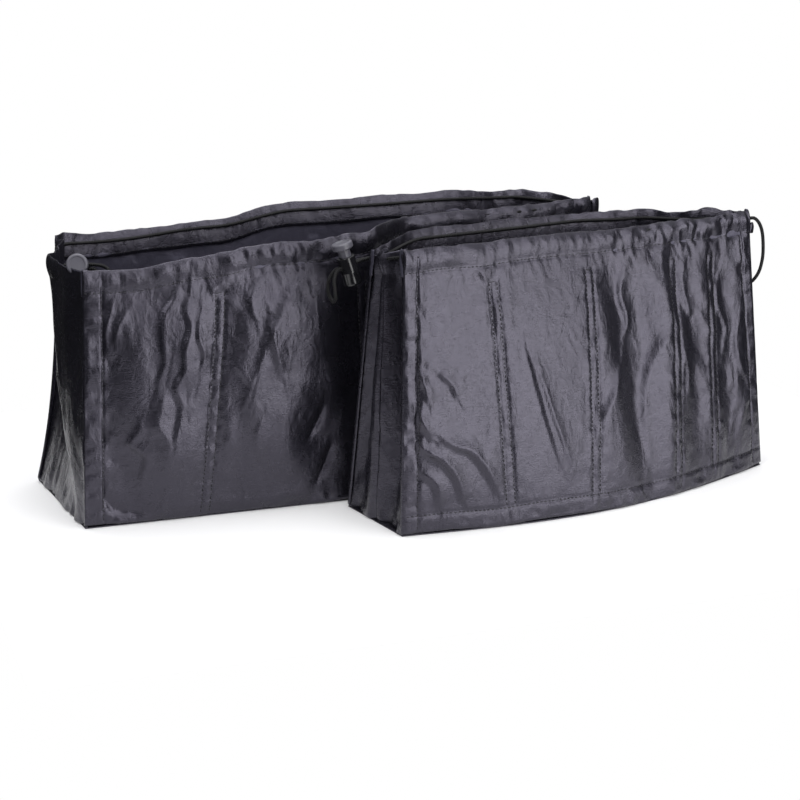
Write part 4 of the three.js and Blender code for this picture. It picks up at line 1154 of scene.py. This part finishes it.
LOCKS = {
    "large": (lock_axes((-0.28, -0.9, 0.3), (0.95, -0.3, 0)), LARGE_CENTRE, LARGE),
    "small": (lock_axes((-0.26, 0.09, 0.96), (-0.96, 0, -0.26)), SMALL_CENTRE, SMALL),
}
SLOT_HALF, SLOT_REACH = 1.35, 8
BARREL = [
    (0, -11), *rounded(3.4, -9.4, 1.6, -math.pi / 2, 0), (5, -4), (5.12, -3.6), (5.12, -3.0),
    (5, -2.6), (5, 4.5), *rounded(4.6, 4.6, 0.4, 0, math.pi / 2), (3.75, 5), (3.7, 4.9),
    (3.7, -9.6), (0, -9.6),
]
BUTTON = [
    (0, -2.35), (2.4, -2.35), (2.4, -5), (3.4, -5), (3.4, 9.4), (3.6, 9.5), (5.3, 9.5),
    (5.8, 10.0), (5.8, 11.6), *rounded(4.7, 12.0, 1.1, 0, math.pi / 2), (4.2, 13.05),
    (3.9, 12.75), (1.5, 12.6), (0, 12.6),
]
COILS, COIL_RADIUS, COIL_LOW, COIL_RISE = 4, 1.75, -9.05, 6.15
SPRING_SEAT, SPRING_TOP, SPRING_KEPT = -9.4, -2.4, 0.38
barrels, buttons, springs = [], [], []
for name, (axes, centre, insert) in LOCKS.items():
    lock, title, body = (axes, centre, insert), f"{name}_lock", f"{name}_button"
    barrel = turned_part(f"{name}_barrel_moulding", BARREL, lock, (SLOT_HALF, 0, 0, SLOT_REACH))
    declare(barrel, barrels, "lock_plastic", f"{title}_barrel", body=title)
    button = turned_part(f"{name}_button_moulding", BUTTON, lock, (SLOT_HALF, 0, 4, SLOT_REACH))
    declare(button, buttons, "button_plastic", f"{title}_plunger", body=body)
    t = np.linspace(0, 1, COILS * 24 + 1)
    turn = 2 * COILS * math.pi * t
    helix = [COIL_RADIUS * np.cos(turn), COIL_RADIUS * np.sin(turn), COIL_LOW + COIL_RISE * t]
    coil = placed(insert, np.stack(helix, -1) @ axes + centre)
    spring = tube(f"{name}_spring_wire", coil, 0.5, sides=8)
    ends = np.array([[0, 0, SPRING_SEAT], [0, 0, SPRING_TOP]])
    seat, top = placed(insert, ends @ axes + centre) * MM
    declare(spring, springs, "spring_steel", f"{title}_spring", body=title)
    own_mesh(spring)

# %% [markdown]
# Rows of stitches hold every seam, and in the photograph they are the finest detail that
# still reads. A row could be a bump texture, but then it has no thread. Each stitch here is a
# tiny closed spindle of twenty faces, set into the groove that the relief leaves for it.

# %% Stitches
PITCH = 2.4
THREAD = 0.5
STITCH_SHARE = 0.74
RING_SIDES = 5
SPINDLE = np.array([(0.12, 0.75), (0.5, 1), (0.88, 0.75)])
BAR_HALF = 2.4


def on_grid(grid, row, column):
    """Points and outward normals of a grid at fractional rows and columns, between the four
    neighbours of each."""
    row = np.clip(row, 0, grid.shape[0] - 1.001)
    column = np.clip(column, 0, grid.shape[1] - 1.001)
    i, j = row.astype(int), column.astype(int)
    s, t = (row - i)[:, None], (column - j)[:, None]
    a, b, c, d = grid[i, j], grid[i, j + 1], grid[i + 1, j + 1], grid[i + 1, j]
    point = (a * (1 - t) + b * t) * (1 - s) + (d * (1 - t) + c * t) * s
    return point, unit(np.cross(b - a + c - d, d - a + c - b))


def stitch_row(grid, rows, columns):
    """Ends of even stitches along a path on a grid, with the normals between them."""
    line, _ = on_grid(grid, rows, columns)
    distance = lengths(line)
    count = max(1, int(distance[-1] / PITCH))
    starts = np.arange(count) * distance[-1] / count
    ends = starts + distance[-1] / count * STITCH_SHARE
    (first, _), (last, _), (_, normal) = (
        on_grid(grid, np.interp(at, distance, rows), np.interp(at, distance, columns))
        for at in (starts, ends, (starts + ends) / 2)
    )
    return first, last, normal


def stitches(name, rows, sign):
    """Spindles from the first to the last point of each stitch: three rings of five points
    with a tip at each end, raised a little along the normal."""
    first, last, normal = (np.concatenate(parts) for parts in zip(*rows))
    normal = normal * sign
    ahead = unit(last - first)
    side = np.cross(ahead, normal)
    share, size = SPINDLE.T
    size = size * THREAD / 2
    turn = np.arange(RING_SIDES) * 2 * math.pi / RING_SIDES
    ring = np.cos(turn)[:, None, None] * side + np.sin(turn)[:, None, None] * normal
    spine = first + (last - first) * share[:, None, None]
    body = spine[:, None] + ring[None] * size[:, None, None, None] + normal * THREAD * 0.25
    tips = np.stack([first, last]) - normal * THREAD * 0.4
    count = len(first)
    rings, tip_count = body.reshape(-1, count, 3), 2
    points = np.concatenate([rings, tips]).transpose(1, 0, 2).reshape(-1, 3)
    offset = (np.arange(count) * (len(rings) + tip_count))[:, None, None]
    quads = grid_faces(len(share), RING_SIDES, ring=True) + offset
    fans = ring_caps(len(share), RING_SIDES) + offset
    return mesh_object(name, points, [quads.reshape(-1, 4), fans.reshape(-1, 3)])


def seam_paths(insert, top):
    """Heights and distances along the wall of its seams: at each divider two rows and a bar
    across their upper ends, then a row at each end strip, and one along the band."""
    width, band, row_top = insert["width"], insert["band"], top - ROW_TOP_BELOW_HEM
    paths = []
    for low, high in insert["rows"]:
        h = np.linspace(band + 1.5, row_top, 120)
        centre = low + (high - low) * h / row_top
        paths += [(h, centre + offset) for offset in (-ROW_SPACING / 2, ROW_SPACING / 2)]
        paths.append((np.full(12, row_top), high + np.linspace(-BAR_HALF, BAR_HALF, 12)))
    for edge in (insert["strip"], width - insert["strip"]):
        paths.append((np.linspace(1.5, top - 1, 120), np.full(120, float(edge))))
    if band:
        paths.append((np.full(300, float(band)), np.linspace(2, width - 2, 300)))
    return paths


threads = []
first_row = len(FOOT_ROWS)
for (name, side), (grid, _, h) in walls.items():
    insert = LARGE if name == "large" else SMALL
    shares, top = column_shares(insert, side), h[-1].mean()
    full = np.linspace(TURNED, TURNED + COLUMNS - 1, 400)
    hem_rows = (first_row + WALL_ROWS - 1.0, len(grid) - 2.0)
    rows = [stitch_row(grid, np.full(400, row), full) for row in hem_rows]
    for height, distance in seam_paths(insert, top):
        row = first_row + height / top * (WALL_ROWS - 1)
        column = TURNED + np.interp(distance / insert["width"], shares, np.arange(COLUMNS))
        rows.append(stitch_row(grid, row, column))
    rows = [(placed(insert, a), placed(insert, b), turned(insert, n)) for a, b, n in rows]
    title = f"{name}_{SIDES[side]}_stitches"
    thread = stitches(title, rows, 1 if side == FRONT else -1)
    fold_with(thread)
    declare(thread, threads, "shell_nylon")
    print(thread.name, len(thread.data.polygons) // 20, "stitches")

# %% [markdown]
# The cloth is a dense black nylon taffeta with a coated face. Up close it is a plain weave
# with slubs; from a step away it is a dark mirror, slightly purple, whose highlights break up
# on fine crinkles. The mirror is an almost black base with an index of 1.6, a faint purple
# tint and a thin coat. The bumps are layered by size: crinkles of a few millimetres, then
# slubs along the threads, then the weave.

# %% Materials
WAVE_PERIOD = 2 * math.pi / 20
WEAVE_PITCH = 0.0006


def principled(name, **sockets):
    """A new material whose shader's own sockets are set by name."""
    material = bpy.data.materials.new(name)
    material.use_nodes = True
    shader = material.node_tree.nodes["Principled BSDF"]
    for socket, value in sockets.items():
        shader.inputs[socket.replace("_", " ")].default_value = value
    return material, material.node_tree, shader


def node(tree, kind, links=None, **settings):
    """A node of a kind, with its properties and its sockets set and linked by name."""
    made = tree.nodes.new(kind)
    for key, value in settings.items():
        if hasattr(made, key):
            setattr(made, key, value)
        else:
            made.inputs[key.replace("_", " ")].default_value = value
    for key, source in (links or {}).items():
        tree.links.new(source, made.inputs[key])
    return made


def wire(tree, shader, **outputs):
    """Links outputs to a shader's sockets by name."""
    for socket, output in outputs.items():
        tree.links.new(output, shader.inputs[socket.replace("_", " ")])


def coordinates(tree, kind):
    """The coordinates of a kind, as an output."""
    return node(tree, "ShaderNodeTexCoord").outputs[kind]


def scaled(tree, vector, scale):
    """Coordinates times a scale for each axis."""
    mapping = node(tree, "ShaderNodeMapping", {"Vector": vector})
    mapping.inputs["Scale"].default_value = scale
    return mapping.outputs["Vector"]


def grain(tree, vector, **settings):
    """A noise texture on coordinates."""
    return node(tree, "ShaderNodeTexNoise", {"Vector": vector}, **settings).outputs["Fac"]


def waves(tree, vector, direction, scale):
    """Bands on coordinates, of which a scale of one has a period of 2 pi / 20."""
    links = {"Vector": vector}
    made = node(tree, "ShaderNodeTexWave", links, bands_direction=direction, Scale=scale)
    return made.outputs["Fac"]


def combined(tree, operation, first, second):
    """Two values joined by an operation."""
    links = {0: first, 1: second}
    return node(tree, "ShaderNodeMath", links, operation=operation).outputs["Value"]


def colour_between(tree, share, dark, light):
    """A colour from dark to light, by a share from 0 to 1."""
    mix = node(tree, "ShaderNodeMix", {"Factor": share}, data_type="RGBA")
    mix.inputs[6].default_value, mix.inputs[7].default_value = (*dark, 1), (*light, 1)
    return mix.outputs[2]


def value_between(tree, share, low, high):
    """A value from low to high, by a share from 0 to 1."""
    part = node(tree, "ShaderNodeMapRange", {"Value": share})
    part.inputs["To Min"].default_value, part.inputs["To Max"].default_value = low, high
    return part.outputs["Result"]


def bump(tree, height, strength, distance, under=None):
    """A bump that stands on the one under it."""
    links = {"Height": height}
    if under is not None:
        links["Normal"] = under
    made = node(tree, "ShaderNodeBump", links, Strength=strength, Distance=distance)
    return made.outputs["Normal"]


def nylon(name, dark, light, roughness, crinkle):
    """Coated nylon cloth: base colour between two dark tones by noise, roughness by finer
    noise, and three bumps, on object coordinates for crinkles and on the UV map for threads."""
    material, tree, shader = principled(
        name, IOR=1.6, Specular_Tint=(0.84, 0.79, 1, 1), Coat_Weight=0.1, Coat_Roughness=0.12
    )
    place, threads_place = coordinates(tree, "Object"), coordinates(tree, "UV")
    tone = grain(tree, place, Scale=38.0, Detail=4.0)
    wear = grain(tree, place, Scale=90.0, Detail=3.0)
    coarse = grain(tree, scaled(tree, place, (1, 1, 0.55)), Scale=170.0, Detail=5.0,
                   Roughness=0.55, Distortion=0.8)
    folds = bump(tree, coarse, crinkle, 0.0011)
    slub = grain(tree, scaled(tree, threads_place, (260, 2600, 1)), Scale=1.0, Detail=2.0)
    slubs = bump(tree, slub, 0.55, 0.0003, folds)
    warp, weft = (waves(tree, threads_place, way, WAVE_PERIOD / WEAVE_PITCH) for way in "XY")
    woven = bump(tree, combined(tree, "ADD", warp, weft), 0.1, 0.0001, slubs)
    wire(tree, shader, Base_Color=colour_between(tree, tone, dark, light),
         Roughness=value_between(tree, wear, *roughness), Normal=woven, Coat_Normal=folds)
    return material


# The pocket layers and the inner faces take a lighter purple grey. Part of it is the duller, uncoated
# back of the nylon, and part is painted light that stands in for the light on the insides of the
# inserts.
INNER_TONES_AND_PAINTED_LIGHT = (0.034, 0.033, 0.047), (0.052, 0.05, 0.072)
shell_nylon = nylon(
    "shell nylon", (0.006, 0.0058, 0.008), (0.012, 0.0115, 0.016), (0.22, 0.32), 0.5
)
pocket_nylon = nylon("pocket nylon", *INNER_TONES_AND_PAINTED_LIGHT, (0.32, 0.44), 0.6)
inner_nylon = nylon("inner nylon face", *INNER_TONES_AND_PAINTED_LIGHT, (0.4, 0.5), 0.5)

braid, tree, shader = principled(
    "cord braid", IOR=1.35, Roughness=0.55, Sheen_Weight=0.02, Sheen_Roughness=0.5
)
place = coordinates(tree, "UV")
twists = [
    waves(tree, scaled(tree, place, (1, lean * 480, 1)), "DIAGONAL", WAVE_PERIOD * 4)
    for lean in (1, -1)
]
strands = combined(tree, "MULTIPLY", *twists)
wire(tree, shader, Normal=bump(tree, strands, 0.9, 0.0004),
     Base_Color=colour_between(tree, strands, (0.002, 0.002, 0.0025), (0.009, 0.0085, 0.01)))


def plastic(name, dark, light, roughness):
    """Moulded plastic: a faint mottle in the colour, and roughness and a shallow bump from
    the grain of the mould."""
    material, tree, shader = principled(name, IOR=1.5)
    place = coordinates(tree, "Object")
    mottle = grain(tree, place, Scale=320.0, Detail=3.0)
    mould = grain(tree, place, Scale=2600.0, Detail=2.0)
    wire(tree, shader, Base_Color=colour_between(tree, mottle, dark, light),
         Roughness=value_between(tree, mould, *roughness),
         Normal=bump(tree, mould, 0.25, 0.00008))
    return material


barrel_plastic = plastic("barrel plastic", (0.006, 0.006, 0.007), (0.01, 0.01, 0.012), (0.12, 0.2))
button_plastic = plastic("button plastic", (0.075, 0.073, 0.09), (0.11, 0.108, 0.13), (0.3, 0.42))
steel, tree, shader = principled("spring steel", Metallic=1.0, Base_Color=(0.5, 0.5, 0.52, 1))
drawn = grain(tree, coordinates(tree, "Object"), Scale=900.0)
wire(tree, shader, Roughness=value_between(tree, drawn, 0.25, 0.4))
thread_material, tree, shader = principled("sewing thread", Roughness=0.6)
ply = grain(tree, coordinates(tree, "Object"), Scale=1500.0)
wire(tree, shader, Base_Color=colour_between(tree, ply, (0.004, 0.004, 0.005), (0.02, 0.019, 0.024)))

finishes = (
    (shells + bases, shell_nylon, inner_nylon), (pockets, pocket_nylon, inner_nylon), (cords, braid),
    (barrels, barrel_plastic), (buttons, button_plastic), (springs, steel), (threads, thread_material),
)
for pieces, *materials in finishes:
    for piece in pieces:
        piece.data.materials.clear()
        for material in materials:
            piece.data.materials.append(material)
print("finished pieces", sum(len(pieces) for pieces, *_ in finishes))

# %% [markdown]
# The set is white paper under soft light. Glossy black shows its surroundings more than its
# own colour. The lit parts of the walls mirror large soft panels in front and above, and the
# dark parts the unlit room. So the paper is small, the world is dark near the horizon and
# bright overhead, and white is seen only by the camera and by mirror rays that look the way
# that it does.

# %% Floor, world and lamps
FLOOR_X, FLOOR_Y, FLOOR_POINTS = (-225, 340), (-250, 200), 9
CAMERA_WAY, BACKDROP_LIMIT = (0.318, 0.909, -0.267), 0.93
SKY = ((0.0, 0.02), (0.28, 0.05), (0.45, 0.45), (0.7, 0.9), (1.0, 0.9))
lines = [np.linspace(*reach, FLOOR_POINTS) for reach in (FLOOR_X, FLOOR_Y)]
grid = np.stack([*np.meshgrid(*lines), np.zeros((FLOOR_POINTS, FLOOR_POINTS))], -1)
floor = mesh_object("floor", grid.reshape(-1, 3), [grid_faces(FLOOR_POINTS, FLOOR_POINTS)])


def mirror_rays(tree):
    """The camera's rays, and the rays that a mirror or glass sends on."""
    path = node(tree, "ShaderNodeLightPath")
    glossy, clear = path.outputs["Is Glossy Ray"], path.outputs["Is Transmission Ray"]
    return path.outputs["Is Camera Ray"], combined(tree, "MAXIMUM", glossy, clear)


paper, tree, shader = principled("white paper", Roughness=0.9, Base_Color=(0.8, 0.8, 0.8, 1))
seen = combined(tree, "MAXIMUM", *mirror_rays(tree))
glow = node(tree, "ShaderNodeEmission", Strength=0.1)
plain = shader.outputs["BSDF"]
both = node(tree, "ShaderNodeAddShader", {0: plain, 1: glow.outputs["Emission"]})
choice = node(tree, "ShaderNodeMixShader", {0: seen, 1: plain, 2: both.outputs["Shader"]})
wire(tree, tree.nodes["Material Output"], Surface=choice.outputs["Shader"])
floor.data.materials.append(paper)

world = bpy.data.worlds.new("studio")
bpy.context.scene.world = world
world.use_nodes = True
tree = world.node_tree
way = coordinates(tree, "Generated")
parts = node(tree, "ShaderNodeSeparateXYZ", {"Vector": way})
sky = node(tree, "ShaderNodeValToRGB", {"Fac": parts.outputs["Z"]})
while len(sky.color_ramp.elements) < len(SKY):
    sky.color_ramp.elements.new(0.5)
for element, (position, value) in zip(sky.color_ramp.elements, SKY):
    element.position = position
    element.color = (value, value, value * 1.03, 1)
towards = node(tree, "ShaderNodeVectorMath", {0: way}, operation="DOT_PRODUCT")
towards.inputs[1].default_value = CAMERA_WAY
backdrop = node(tree, "ShaderNodeMath", {0: towards.outputs["Value"]}, operation="GREATER_THAN")
backdrop.inputs[1].default_value = BACKDROP_LIMIT
camera_rays, mirrored = mirror_rays(tree)
mirrored = combined(tree, "MULTIPLY", mirrored, backdrop.outputs["Value"])
seen = combined(tree, "MAXIMUM", camera_rays, mirrored)
white = node(tree, "ShaderNodeMix", {"Factor": seen, 6: sky.outputs["Color"]}, data_type="RGBA")
white.inputs[7].default_value = (1, 1, 1, 1)
wire(tree, tree.nodes["Background"], Color=white.outputs[2])


def softbox(name, place, yaw, pitch, wide, tall, radiance):
    """A flat area lamp that faces along its yaw and pitch; power = radiance * pi * area."""
    data = bpy.data.lights.new(name, "AREA")
    data.shape, data.size, data.size_y = "RECTANGLE", wide * MM, tall * MM
    data.energy = radiance * math.pi * wide * tall * MM * MM
    lamp = bpy.data.objects.new(name, data)
    bpy.context.collection.objects.link(lamp)
    aim(lamp, place, yaw, pitch)


softbox("front", (760, -1211, 60), -31.3, 0, 1200, 1000, 4.2)
softbox("front above", (404, -1111, 1023), -20, 38, 800, 700, 3.0)
softbox("key", (-900, -700, 1300), 48, 50, 700, 700, 5)
softbox("top", (0, 100, 1500), 0, 90, 1000, 1000, 3.4)

# %% [markdown]
# The view transform stays Standard and the exposure at its default, so that each colour
# renders about as it is written.

# %% Finish
bpy.context.scene.view_settings.view_transform = "Standard"
